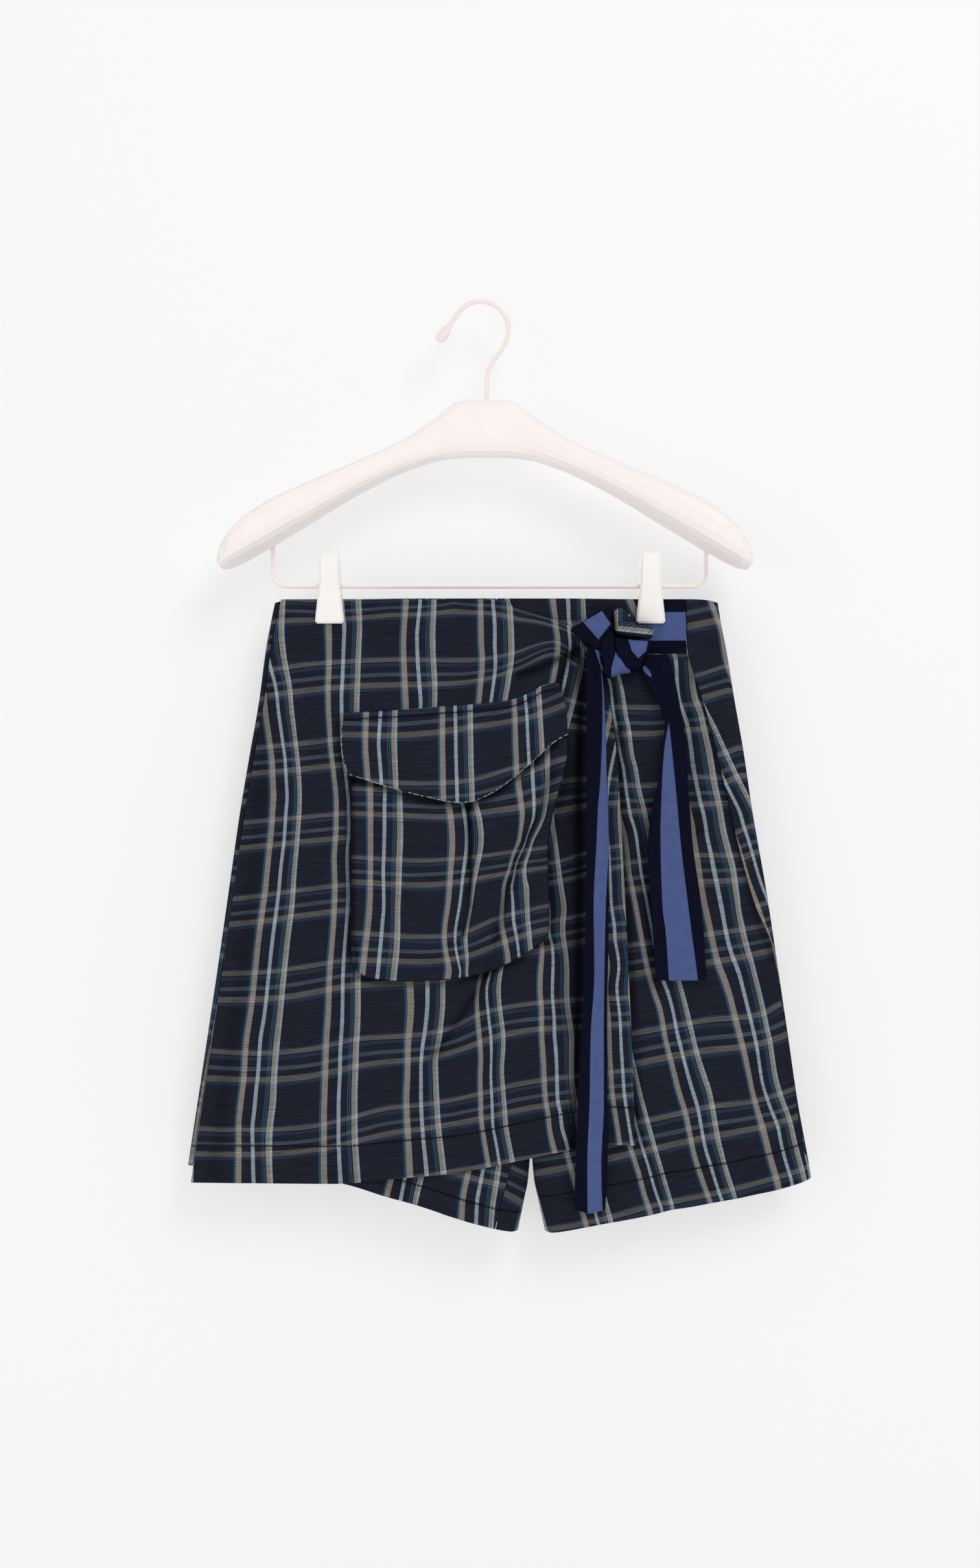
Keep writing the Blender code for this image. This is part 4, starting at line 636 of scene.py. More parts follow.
LEFT_WEFT = (
    Line(7, GRAY_WEFT, ((742, 1804), (777, 1813))),
    Line(7, LAST_WEFT, ((694, 1811), (776, 1831))),
    Line(8, FIRST_WEFT, ((690, 1890), (760, 1908))),
)
LEFT_INSEAM_WARP = (
    Line(2, EDGE_LINE, ((806, 1866), (795, 1905))),
    Line(1, TAN_LINE, ((760, 1822), (740, 1880))),
)
LEFT_INSEAM_WEFT = (
    Line(7, FIRST_WEFT, ((782, 1798), (817, 1815))),
    Line(7, GRAY_WEFT, ((779, 1822), (812, 1839))),
    Line(7, LAST_WEFT, ((775, 1841), (808, 1861))),
)


# ---- Shared shapes ----
def smooth(rows, key, value, at):
    """A curve through two columns of a table that never swings past its rows."""
    xs = np.array([getattr(row, key) for row in rows], float)
    ys = np.array([getattr(row, value) for row in rows], float)
    slope = np.diff(ys) / np.diff(xs)
    before, after = slope[:-1], slope[1:]
    same = before * after > 0
    tangent = np.zeros(len(xs))
    tangent[1:-1][same] = 2 * before[same] * after[same] / (before[same] + after[same])
    tangent[0] = slope[0]
    tangent[-1] = slope[-1]
    at = np.clip(np.asarray(at, float), xs[0], xs[-1])
    i = np.clip(np.searchsorted(xs, at, side="right") - 1, 0, len(xs) - 2)
    step = xs[i + 1] - xs[i]
    t = (at - xs[i]) / step
    rest = 1 - t
    ends = ys[i] * (1 + 2 * t) * rest**2 + ys[i + 1] * (3 - 2 * t) * t**2
    turns = tangent[i] * step * t * rest**2 - tangent[i + 1] * step * t**2 * rest
    return ends + turns


def ramp(at, full, none):
    """1 up to the first place, 0 past the second, with a soft step between them."""
    t = np.clip((none - np.asarray(at, float)) / (none - full), 0, 1)
    return t * t * (3 - 2 * t)


def mix(a, b, t):
    return a * (1 - t) + b * t


def fold_heights(folds, x, drop):
    """How far the folds raise the cloth at some places."""
    x = np.asarray(x, float)
    drop = np.asarray(drop, float)
    total = np.zeros(np.broadcast(x, drop).shape)
    for fold in folds:
        path = np.array(fold.path, float)
        nearest = np.full(total.shape, np.inf)
        for a, b in zip(path[:-1], path[1:]):
            run = b - a
            t = ((x - a[0]) * run[0] + (drop - a[1]) * run[1]) / (run @ run)
            t = np.clip(t, 0, 1)
            far = np.hypot(x - a[0] - t * run[0], drop - a[1] - t * run[1])
            nearest = np.minimum(nearest, far)
        total = total + fold.height * np.exp(-((nearest / fold.width) ** 2))
    return total


def pinch(x, drop):
    """How far the clips press the layers together: 1 in a clip, 0 well away from both."""
    held = np.zeros(np.broadcast(x, drop).shape)
    for clip_x in CLIP_X:
        held = np.maximum(held, ramp(np.abs(x - clip_x), PINCH_FLAT, PINCH_FADE))
    return held * ramp(drop, 21.0, 85.0)


def centre_x(drop):
    return smooth(INNER, "drop", "centre", drop)


def inner_x(side, drop):
    """The leg's inner edge: the centre seam, and below the crotch the inner fold."""
    half_gap = smooth(INNER, "drop", "half_gap", drop)
    return centre_x(drop) + (-half_gap if side == "left" else half_gap)


def outer_x(side, drop):
    """The side fold's middle surface."""
    return smooth(OUTLINE, "drop", side, drop) + (CLOTH / 2 if side == "left" else -CLOTH / 2)


def across(x, drop, side, start):
    """How far x lies from start, 0, to the side fold, 1."""
    return np.clip((x - start) / (outer_x(side, drop) - start), 0, 1)


def half_depth(face, drop):
    return smooth(DEPTH, "drop", face, drop)


def cover_depth(face, x, drop):
    """Depth from the middle plane to a smooth drape over both legs."""
    middle = centre_x(drop)
    left = across(x, drop, "left", middle)
    right = across(x, drop, "right", middle)
    s = np.where(x < middle, left, right)
    free = half_depth(face, drop) * (1 - s**2) ** EDGE_POWER
    return mix(free, PINCH, pinch(x, drop) * (s < 1))


def leg_depth(face, side, x, drop):
    """Depth to one leg's wall, which also turns in at the inner fold below the crotch."""
    inner = inner_x(side, drop)
    s = across(x, drop, side, inner)
    turn = 1 - ramp(drop, CROTCH_DROP - CROTCH_CURVE, CROTCH_DROP)
    near = np.clip(s / INNER_ROUND, 0, 1)
    rounded = np.sqrt(1 - (1 - near) ** 2)
    free = half_depth(face, drop) * (1 - s**2) ** EDGE_POWER * (1 - turn * (1 - rounded))
    return mix(free, PINCH, pinch(x, drop) * (s < 1))


def fold_quiet(depth, drop):
    """Folds fade out near the waist, the side folds and the inner folds."""
    return np.clip(depth / 8, 0, 1) ** 2 * (1 - ramp(drop, 20.0, 70.0))


def leg_point(side, face, x, drop, folds):
    """A point of a leg's middle surface on its front or back."""
    depth = leg_depth(face, side, x, drop)
    depth = depth + fold_heights(folds, x, drop) * fold_quiet(depth, drop)
    y = -depth if face == "front" else depth
    return np.stack([x, y, WAIST_Z - drop], axis=-1)


def ring_x(side, w, drop):
    """x of a place round the leg: w runs 0 to 1 on the front, from the inner edge to the side."""
    turn = 1 - ramp(drop, CROTCH_DROP - CROTCH_CURVE, CROTCH_DROP)
    s = mix(np.sin(math.pi / 2 * w), (1 - np.cos(math.pi * w)) / 2, turn)
    inner = inner_x(side, drop)
    return inner + s * (outer_x(side, drop) - inner)


def ring_place(side, x, drop):
    """The w at which the front of the ring passes x."""
    w = np.linspace(0, 1, 400)
    found = ring_x(side, w, np.full(400, float(drop)))
    if side == "left":
        return float(np.interp(-x, -found, w))
    return float(np.interp(x, found, w))


def seam_places(side, drop):
    """Where the inseam and the side seam lie round the ring."""
    inset = float(smooth(LEFT_INSEAM, "drop", "x", drop)) if side == "left" else 0.0
    inner = float(inner_x(side, drop))
    start = ring_place(side, inner - inset, drop)
    if side == "left":
        seam_x = float(smooth(OUTLINE, "drop", "left", drop)) + SIDE_SEAM_IN
    else:
        seam_x = float(smooth(RIGHT_SIDE_SEAM, "drop", "x", drop))
    return start, ring_place(side, seam_x, drop)


def front_place(w):
    """The place on the front that lies before or behind w."""
    return np.abs(np.where(w <= 1, w, 2 - w))


def on_front(w):
    return ((w >= 0) & (w <= 1)) | (w > 2)


def ring_point(side, w, drop, folds):
    """The middle surface at w, which runs on past 1 round the back and past 2 to the front again."""
    x = ring_x(side, front_place(w), drop)
    ahead = leg_point(side, "front", x, drop, folds["front"])
    behind = leg_point(side, "back", x, drop, folds["back"])
    return np.where(on_front(w)[..., None], ahead, behind)


def ring_normal(side, w, drop, folds):
    """The wall's direction at w, from its neighbours along the ring and down the leg."""
    step_w, step_drop = 0.004, 1.0
    before, after = w - step_w, w + step_w
    open_leg = drop < CROTCH_DROP - CROTCH_CURVE / 2
    before = np.where(open_leg & (w < step_w), w, before)
    after = np.where(open_leg & (w > 2 - step_w), w, after)
    along = ring_point(side, after, drop, folds) - ring_point(side, before, drop, folds)
    down = ring_point(side, w, drop + step_drop, folds) - ring_point(side, w, drop - step_drop, folds)
    normal = np.cross(along, down)
    return normal / np.linalg.norm(normal, axis=1, keepdims=True)


def arc_length(points):
    return np.concatenate([[0], np.cumsum(np.linalg.norm(np.diff(points, axis=0), axis=1))])


def trimmed(points, extras, count, cut):
    """A row of points shortened by cut at both ends, with what goes with them."""
    length = arc_length(points)
    places = np.interp(np.linspace(0, 1, count), np.linspace(0, 1, len(points)), length)
    places = mix(cut, length[-1] - cut, places / length[-1])
    read = []
    for of in (points, *extras):
        read.append(np.stack([np.interp(places, length, of[:, i]) for i in range(of.shape[1])], axis=1))
    return read


def edge(points, at, count_key):
    """Points along an edge, spaced evenly by one of its two coordinates."""
    low = getattr(points[0], count_key)
    high = getattr(points[-1], count_key)
    other = "drop" if count_key == "x" else "x"
    read = mix(low, high, at)
    found = smooth(points, count_key, other, read)
    pair = (read, found) if count_key == "x" else (found, read)
    return np.stack(pair, axis=-1)


def filled(top, bottom, left, right):
    """The (x, drop) grid between four edges."""
    v = np.linspace(0, 1, len(left))[:, None, None]
    u = np.linspace(0, 1, len(top))[None, :, None]
    rows = mix(top[None], bottom[None], v)
    columns = mix(left[:, None], right[:, None], u)
    corners = mix(mix(top[0], top[-1], u), mix(bottom[0], bottom[-1], u), v)
    return rows + columns - corners


def with_ends(points, first, last):
    """An edge moved a little so that it starts and ends at two given points."""
    t = np.linspace(0, 1, len(points))[:, None]
    return points + (first - points[0]) * (1 - t) + (last - points[-1]) * t


def drawn_in(x, drop, y):
    """A place on a nearer layer, drawn in towards the point that the sizes were taken from."""
    near = 1 + y / SIGHT
    return SIGHT_X + (x - SIGHT_X) * near, SIGHT_DROP + (drop - SIGHT_DROP) * near


def seen_at(points):
    """Where 3-D points show on the chart, across and down."""
    far = SIGHT / (SIGHT + points[..., 1])
    x = SIGHT_X + (points[..., 0] - SIGHT_X) * far
    drop = SIGHT_DROP + (WAIST_Z - points[..., 2] - SIGHT_DROP) * far
    return x / CHART + CHART_ACROSS, drop / CHART + CHART_DOWN


def wrap_depth(x, drop):
    """Depth of the drape that the wrap follows: held at its waist and side seam, free elsewhere."""
    from_side = x - smooth(OUTLINE, "drop", "left", drop)
    gathered = ramp(np.hypot(x - KNOT_X, (drop - KNOT_DROP) * 1.2), 10.0, 60.0)
    free = (1 - ramp(drop, 12.0, 50.0)) * (1 - ramp(from_side, 4.0, 40.0))
    free = np.maximum(free, gathered)
    folds = fold_heights(WRAP_FOLDS, x, drop) + fold_heights(WRAP_CREASES, x, drop)
    lift = (folds + WRAP_SLACK + GATHER * gathered) * free
    lift = 0.5 * (lift + np.sqrt(lift**2 + 0.6))
    return cover_depth("front", x, drop) + lift * (1 - pinch(x, drop)) ** 0.5


def lifted(depth_of, x, drop, out):
    """Depth of a layer that lies out from a surface, measured square to it."""
    step = 0.5
    here = depth_of(x, drop)
    slope_x = (depth_of(x + step, drop) - depth_of(x - step, drop)) / (2 * step)
    slope_drop = (depth_of(x, drop + step) - depth_of(x, drop - step)) / (2 * step)
    return here + out * np.sqrt(1 + np.minimum(slope_x**2 + slope_drop**2, 1.0))


def laid_on(depth_of, places, out):
    """3-D points of a layer drawn at some places, on a surface and out from it."""
    x, drop = places[..., 0], places[..., 1]
    near_x, near_drop = drawn_in(x, drop, -depth_of(x, drop))
    depth = lifted(depth_of, near_x, near_drop, out)
    return np.stack([near_x, -depth, WAIST_Z - near_drop], axis=-1)


def over_shorts(x, drop):
    """Depth of the wrap's middle surface, one layer out from the drape that covers the shorts."""
    return lifted(wrap_depth, x, drop, LAYER)


def right_front_depth(x, drop):
    depth = leg_depth("front", "right", x, drop)
    return depth + fold_heights(RIGHT_FRONT_FOLDS, x, drop) * fold_quiet(depth, drop)


def placed(x, drop, depth):
    """A 3-D point drawn at x and drop, at a depth in front of the middle plane."""
    near_x, near_drop = drawn_in(x, drop, -depth)
    return np.stack(np.broadcast_arrays(near_x, -depth, WAIST_Z - near_drop), axis=-1)


def through(a, b, c, d, t):
    return 0.5 * (2 * b + (c - a) * t + (2 * a - 5 * b + 4 * c - d) * t**2 + (3 * b - a - 3 * c + d) * t**3)


def closed_curve(points, count):
    """Evenly spread points on a smooth closed curve through an outline's points."""
    fine = []
    ring = [np.array(p, float) for p in points]
    size = len(ring)
    for i in range(size):
        a, b, c, d = (ring[(i + k) % size] for k in (-1, 0, 1, 2))
        for t in np.linspace(0, 1, 16, endpoint=False):
            fine.append(through(a, b, c, d, t))
    fine = np.array(fine + [fine[0]])
    length = arc_length(fine)
    at = np.linspace(0, length[-1], count, endpoint=False)
    return np.stack([np.interp(at, length, fine[:, i]) for i in range(fine.shape[1])], axis=1)


def knot_seat(x, drop):
    """Depth that the knot's back rests at: on the wrap at its left, on the waist's band at its right."""
    on_wrap = over_shorts(x, drop) + KNOT_CLEARANCE
    on_band = right_front_depth(x, drop) + LAYER
    return mix(on_band, on_wrap, ramp(x, 94.0, 110.0)) + CLOTH / 2 + GAP


# ---- The plaid's place on each piece ----
class Chart:
    """Reads how far across or down the cloth a place is, from lines drawn on the photo's sheet."""

    def __init__(self, lines, repeat, stiffness=0.4):
        spots = []
        values = []
        for line in lines:
            for spot in line.at:
                spots.append(spot)
                values.append(line.repeat * repeat + line.place)
        self.spots = np.array(spots, float) / 100
        count = len(spots)
        system = np.zeros((count + 3, count + 3))
        system[:count, :count] = self.bend(self.spots, self.spots) + stiffness * 0.01 * np.eye(count)
        flat = np.column_stack([np.ones(count), self.spots])
        system[:count, count:] = flat
        system[count:, :count] = flat.T
        self.weights = np.linalg.solve(system, np.concatenate([values, np.zeros(3)]))

    @staticmethod
    def bend(a, b):
        far = np.linalg.norm(a[:, None] - b[None], axis=2)
        return far**2 * np.log(far + 1e-9)

    def __call__(self, across_sheet, down_sheet):
        at = np.column_stack([np.ravel(across_sheet), np.ravel(down_sheet)]) / 100
        bent = self.bend(at, self.spots) @ self.weights[:-3]
        found = bent + self.weights[-3] + at @ self.weights[-2:]
        return found.reshape(np.shape(across_sheet))


def cloth_chart(warp, weft):
    return Chart(warp, WARP_REPEAT), Chart(weft, WEFT_REPEAT)


# ---- Meshes ----
def grid_faces(rows, columns):
    corners = [r * columns + c for r in range(rows - 1) for c in range(columns - 1)]
    return [(k, k + 1, k + columns + 1, k + columns) for k in corners]


def point_normals(points, faces):
    corners = points[np.array(faces)]
    crossed = np.cross(corners[:, 2] - corners[:, 0], corners[:, 3] - corners[:, 1])
    total = np.zeros_like(points)
    for k in range(4):
        np.add.at(total, np.array(faces)[:, k], crossed)
    return total / np.linalg.norm(total, axis=1, keepdims=True)


def mesh_object(name, points, faces, material, notes=None, sharp_angle=50.0):
    """A closed mesh from points in millimetres, with notes that its material reads at each point."""
    mesh = bpy.data.meshes.new(name)
    mesh.from_pydata([tuple(p) for p in np.asarray(points, float) * MM], [], faces)
    shape = bmesh.new()
    shape.from_mesh(mesh)
    bmesh.ops.recalc_face_normals(shape, faces=shape.faces)
    shape.to_mesh(mesh)
    shape.free()
    for key, values in (notes or {}).items():
        layer = mesh.attributes.new(key, "FLOAT_VECTOR", "POINT")
        layer.data.foreach_set("vector", np.asarray(values, np.float32).ravel())
    mesh.materials.append(material)
    mesh.shade_smooth()
    mesh.set_sharp_from_angle(angle=math.radians(sharp_angle))
    obj = bpy.data.objects.new(name, mesh)
    bpy.context.collection.objects.link(obj)
    return obj


def shell_object(name, points, faces, material, notes, thick=SHELL, normals=None):
    """A thin wall of even thickness about these middle-surface points, closed round its border."""
    points = np.asarray(points, float)
    if normals is None:
        normals = point_normals(points, faces)
    count = len(points)
    both = np.concatenate([points + normals * thick / 2, points - normals * thick / 2])
    shell = [tuple(face) for face in faces]
    shell += [tuple(count + k for k in reversed(face)) for face in faces]
    edges = {}
    for face in faces:
        for a, b in zip(face, face[1:] + face[:1]):
            edges[(a, b)] = True
    for a, b in edges:
        if (b, a) not in edges:
            shell.append((b, a, count + a, count + b))
    doubled = {key: np.concatenate([values, values]) for key, values in notes.items()}
    return mesh_object(name, both, shell, material, doubled)


def grid_shell(name, grid, material, notes, thick=SHELL, normals=None):
    grid = np.asarray(grid, float)
    rows, columns = grid.shape[:2]
    if normals is not None:
        normals = np.asarray(normals, float).reshape(-1, 3)
    flat = {key: np.asarray(values, float).reshape(-1, 3) for key, values in notes.items()}
    return shell_object(name, grid.reshape(-1, 3), grid_faces(rows, columns), material, flat, thick, normals)


def area_of(grid):
    """The area of a grid of points, in square metres."""
    grid = np.asarray(grid, float)
    a, b = grid[:-1, :-1], grid[:-1, 1:]
    c, d = grid[1:, 1:], grid[1:, :-1]
    return float(np.linalg.norm(np.cross(c - a, d - b), axis=2).sum() / 2) * MM * MM


NO_STITCH = 99.0


def notes_of(chart, points, stitch=NO_STITCH):
    """Places on the cloth for each point, and how far it lies from a line of stitches, in millimetres."""
    sheet_x, sheet_y = seen_at(points)
    warp, weft = chart
    u = warp(sheet_x, sheet_y)
    v = weft(sheet_x, sheet_y)
    return np.stack([u, v, np.broadcast_to(stitch, u.shape)], axis=-1)


def shade_notes(shades, points):
    """How much shade is painted into the cloth's colour in its creases."""
    across_sheet, down_sheet = seen_at(points)
    x = (across_sheet - CHART_ACROSS) * CHART
    drop = (down_sheet - CHART_DOWN) * CHART
    notes = np.zeros(points.shape)
    notes[..., 0] = np.clip(fold_heights(shades, x, drop), 0, 0.92)
    return notes


def declare(obj, node):
    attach(obj, "root")
    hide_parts(node)


# ---- Materials ----
def linear(rgb):
    """A colour from its 0-255 screen values."""
    out = []
    for value in rgb:
        value = value / 255
        out.append(value / 12.92 if value <= 0.04045 else ((value + 0.055) / 1.055) ** 2.4)
    return (*out, 1.0)


class Nodes:
    """A short way to write a material's nodes."""

    def __init__(self, name):
        self.material = bpy.data.materials.new(name)
        self.material.use_nodes = True
        self.tree = self.material.node_tree
        self.shader = self.tree.nodes["Principled BSDF"]

    def add(self, kind, **values):
        node = self.tree.nodes.new(kind)
        for key, value in values.items():
            setattr(node, key, value)
        return node

    def put(self, socket, value):
        if isinstance(value, (int, float, tuple)):
            socket.default_value = value
        else:
            self.tree.links.new(value, socket)

    def math(self, operation, *values):
        node = self.add("ShaderNodeMath", operation=operation)
        for socket, value in zip(node.inputs, values):
            self.put(socket, value)
        return node.outputs[0]

    def blend(self, factor, a, b, how="MIX"):
        node = self.add("ShaderNodeMix", data_type="RGBA", blend_type=how)
        self.put(node.inputs[0], factor)
        self.put(node.inputs[6], a)
        self.put(node.inputs[7], b)
        return node.outputs[2]

    def place(self, key):
        node = self.add("ShaderNodeAttribute", attribute_name=key)
        split = self.add("ShaderNodeSeparateXYZ")
        self.tree.links.new(node.outputs["Vector"], split.inputs[0])
        return split.outputs

    def joined(self, x, y, z=0.0):
        node = self.add("ShaderNodeCombineXYZ")
        for socket, value in zip(node.inputs, (x, y, z)):
            self.put(socket, value)
        return node.outputs[0]

    def noise(self, vector, scale, detail=2.0):
        node = self.add("ShaderNodeTexNoise")
        self.put(node.inputs["Vector"], vector)
        node.inputs["Scale"].default_value = scale
        node.inputs["Detail"].default_value = detail
        return node.outputs["Fac"]

    def stripes(self, at, repeat, bands, ground):
        """Colours that repeat along at: bands are (start, end, colour), and ground is between them."""
        turn = self.math("FRACT", self.math("DIVIDE", at, repeat))
        node = self.add("ShaderNodeValToRGB")
        node.color_ramp.interpolation = "CONSTANT"
        stops = []
        end = 0.0
        for start, stop, colour in bands:
            if start > end or not stops:
                stops.append((end, ground if start > end else colour))
            if start > end:
                stops.append((start, colour))
            elif stops[-1][1] is not colour:
                stops.append((start, colour))
            end = stop
        stops.append((end, ground))
        ramp_stops = node.color_ramp.elements
        while len(ramp_stops) < len(stops):
            ramp_stops.new(1.0)
        for element, (position, colour) in zip(ramp_stops, stops):
            element.position = position / repeat
            element.color = colour
        self.put(node.inputs[0], turn)
        return node.outputs[0]

    def bump(self, height, strength, distance):
        node = self.add("ShaderNodeBump")
        node.inputs["Strength"].default_value = strength
        node.inputs["Distance"].default_value = distance
        self.put(node.inputs["Height"], height)
        self.tree.links.new(node.outputs[0], self.shader.inputs["Normal"])


CLOTH_NAVY = linear((30, 32, 43))
CLOTH_TAN = linear((148, 140, 130))
CLOTH_LIGHT = linear((156, 171, 182))
CLOTH_BLUE = linear((46, 84, 110))
WARP_BANDS = (
    (0.0, 1.4, CLOTH_BLUE),
    (1.4, 5.7, CLOTH_TAN),
    (12.6, 15.4, CLOTH_LIGHT),
    (20.2, 21.0, CLOTH_BLUE),
    (21.6, 22.4, CLOTH_BLUE),
    (23.4, 26.2, CLOTH_TAN),
    (26.2, 27.7, CLOTH_LIGHT),
)
WEFT_NAVY = linear((29, 31, 43))
WEFT_TAN = linear((122, 116, 109))
WEFT_GRAY = linear((86, 101, 113))
WEFT_BLUE = linear((42, 66, 92))
WEFT_BANDS = (
    (0.0, 1.0, WEFT_BLUE),
    (1.0, 4.5, WEFT_TAN),
    (5.5, 8.0, WEFT_BLUE),
    (13.0, 16.0, WEFT_GRAY),
    (20.5, 24.8, WEFT_TAN),
    (24.8, 27.3, WEFT_BLUE),
)


# The stitch thread's colour, also used for the painted shade along the stitch lines
STITCH_THREAD_AND_SHADE = linear((10, 10, 16))
RIM_THREAD = linear((150, 148, 150))
# Millimetres on the cloth
WARP_THREAD = 0.8
WEFT_RIB = 1.0
STITCH_HALF = 0.45
STITCH_STEP = 2.7
PULL_REACH = 1.6
# Shares from 0 to 1
STITCH_SHARE = 0.7
RIM_FROM = 0.78
WORN_FROM = 0.47


def plaid_material():
    n = Nodes("plaid_weave")
    u, v, from_stitch = n.place("cloth")
    rim = n.place("rim")[0]
    wander = n.noise(n.joined(u, v), 0.05, 3.0)
    shift = n.math("MULTIPLY", n.math("SUBTRACT", wander, 0.5), 0.5)
    warp = n.stripes(n.math("ADD", u, shift), WARP_REPEAT, WARP_BANDS, CLOTH_NAVY)
    weft = n.stripes(n.math("ADD", v, shift), WEFT_REPEAT, WEFT_BANDS, WEFT_NAVY)
    # Warp threads and weft ribs, over and under each other
    warp_wave = n.math("SINE", n.math("MULTIPLY", u, 2 * math.pi / WARP_THREAD))
    weft_wave = n.math("SINE", n.math("MULTIPLY", v, 2 * math.pi / WEFT_RIB))
    weave = n.math("MULTIPLY", warp_wave, weft_wave)
    slub = n.noise(n.joined(n.math("MULTIPLY", u, 0.05), n.math("MULTIPLY", v, 1.6)), 1.0, 2.0)
    over = n.math("ADD", n.math("MULTIPLY", weave, 1.2), 0.7)
    over = n.math("MINIMUM", n.math("MAXIMUM", over, 0.15), 1.0)
    colour = n.blend(over, weft, warp)
    shade = n.math("ADD", n.math("MULTIPLY", slub, 2.0), 0.05)
    ribs = n.math("ADD", n.math("MULTIPLY", weft_wave, 0.2), 0.95)
    # Painted shade: the shade notes darken the colour in creases, under edges and beside the tails
    painted_shade = n.math("SUBTRACT", 1.0, n.place("shade")[0])
    shade = n.math("MULTIPLY", n.math("MULTIPLY", shade, ribs), painted_shade)
    colour = n.blend(1.0, colour, n.joined(shade, shade, shade), "MULTIPLY")
    # Stitches: short dark dashes that pull the cloth in, with painted shade along the groove they pull in
    near = n.math("LESS_THAN", n.math("ABSOLUTE", from_stitch), STITCH_HALF)
    dash = n.math("LESS_THAN", n.math("FRACT", n.math("DIVIDE", u, STITCH_STEP)), STITCH_SHARE)
    stitch = n.math("MULTIPLY", near, dash)
    pull_and_painted_shade = n.math("SUBTRACT", 1.0,
                    n.math("MINIMUM", n.math("DIVIDE", n.math("ABSOLUTE", from_stitch), PULL_REACH), 1.0))
    # Painted shade along each stitch line, darkest at the stitches
    colour = n.blend(n.math("MULTIPLY", pull_and_painted_shade, 0.5), colour, STITCH_THREAD_AND_SHADE)
    colour = n.blend(stitch, colour, STITCH_THREAD_AND_SHADE)
    # The pale broken thread along the flap's edge
    worn = n.math("GREATER_THAN", n.noise(n.joined(u, v), 0.45, 1.0), WORN_FROM)
    colour = n.blend(n.math("MULTIPLY", n.math("GREATER_THAN", rim, RIM_FROM), worn), colour, RIM_THREAD)
    n.put(n.shader.inputs["Base Color"], colour)
    n.shader.inputs["Roughness"].default_value = 0.9
    n.shader.inputs["Specular IOR Level"].default_value = 0.05
    height = n.math("ADD", n.math("MULTIPLY", weft_wave, 0.6), n.math("MULTIPLY", slub, 1.2))
    height = n.math("SUBTRACT", height, n.math("MULTIPLY", pull_and_painted_shade, 2.2))
    n.bump(height, 0.5, 0.0003)
    return n.material


KNIT_NAVY = linear((17, 19, 37))
KNIT_BLUE = linear((92, 109, 163))
RIBBON_WIDTH = 42.0
RIBBON_BORDER = 10.0
KNIT_WALE = 1.5
KNIT_COURSE = 1.2
RIB_STEP = 2.1


def knit_material():
    n = Nodes("ribbon_knit")
    s, t, outside = n.place("knit")
    # Small V stitches in the blue, ribs along the length in the navy
    leg = n.math("PINGPONG", s, 0.75)
    rows = n.math("SINE", n.math("MULTIPLY", n.math("ADD", t, n.math("MULTIPLY", leg, 0.8)),
                                 2 * math.pi / KNIT_COURSE))
    columns = n.math("SINE", n.math("MULTIPLY", s, 2 * math.pi / KNIT_WALE))
    ribs = n.math("SINE", n.math("MULTIPLY", s, 2 * math.pi / RIB_STEP))
    border = n.math("GREATER_THAN", n.math("ADD", outside, n.math("MULTIPLY", rows, 0.18)), 0.0)
    colour = n.blend(border, KNIT_BLUE, KNIT_NAVY)
    blue_height = n.math("ADD", rows, n.math("MULTIPLY", columns, 0.45))
    navy_height = n.math("ADD", ribs, n.math("MULTIPLY", rows, 0.3))
    height = n.math("ADD", n.math("MULTIPLY", blue_height, n.math("SUBTRACT", 1.0, border)),
                    n.math("MULTIPLY", navy_height, border))
    fuzz = n.noise(n.joined(s, t), 1.2, 3.0)
    patches = n.noise(n.joined(s, t), 0.12, 2.0)
    shade = n.math("ADD", n.math("MULTIPLY", height, 0.16), n.math("ADD", n.math("MULTIPLY", fuzz, 0.5), 0.6))
    shade = n.math("ADD", shade, n.math("MULTIPLY", patches, 0.3))
    colour = n.blend(1.0, colour, n.joined(shade, shade, shade), "MULTIPLY")
    n.put(n.shader.inputs["Base Color"], colour)
    n.shader.inputs["Roughness"].default_value = 0.95
    n.shader.inputs["Specular IOR Level"].default_value = 0.03
    n.bump(height, 0.8, 0.0006)
    return n.material


def paint_material(name, colour, roughness, grain):
    n = Nodes(name)
    place = n.add("ShaderNodeTexCoord").outputs["Object"]
    tone = n.noise(place, grain, 3.0)
    shade = n.math("ADD", n.math("MULTIPLY", tone, 0.06), 0.97)
    n.put(n.shader.inputs["Base Color"], n.blend(1.0, colour, n.joined(shade, shade, shade), "MULTIPLY"))
    n.put(n.shader.inputs["Roughness"], n.math("ADD", n.math("MULTIPLY", tone, 0.15), roughness - 0.07))
    n.bump(n.noise(place, grain * 8, 2.0), 0.08, 0.0004)
    return n.material


PLAID = plaid_material()
KNIT = knit_material()
PAINT = paint_material("cream_paint_finish", linear((243, 236, 233)), 0.5, 60.0)
WIRE = paint_material("cream_wire_finish", linear((240, 228, 224)), 0.4, 90.0)
PLASTIC = paint_material("cream_plastic_finish", linear((242, 238, 234)), 0.45, 80.0)


# ---- Pieces ----
WRAP_CHART = cloth_chart(WRAP_WARP, WRAP_WEFT)
FLAP_CHART = cloth_chart(FLAP_WARP, FLAP_WEFT)
POCKET_CHART = cloth_chart(POCKET_WARP, POCKET_WEFT)
RIGHT_CHART = cloth_chart(RIGHT_WARP, RIGHT_WEFT)
RIGHT_BACK_CHART = cloth_chart(RIGHT_BACK_WARP, RIGHT_BACK_WEFT)
LEFT_CHART = cloth_chart(LEFT_WARP, LEFT_WEFT)


# Flat lengths of the two tails, in metres
LONG_TAIL_FLAT = 0.445
SHORT_TAIL_FLAT = 0.255

# How dark the painted shade on the pocket's gusset walls is, 0 to 1
GUSSET_SHADE = 0.7
LEG_STITCH = {"left": 15.0, "right": 28.0}
WRAP_STITCH = 29.0
FLAP_STITCH = 5.5
RIM_REACH = 3.0


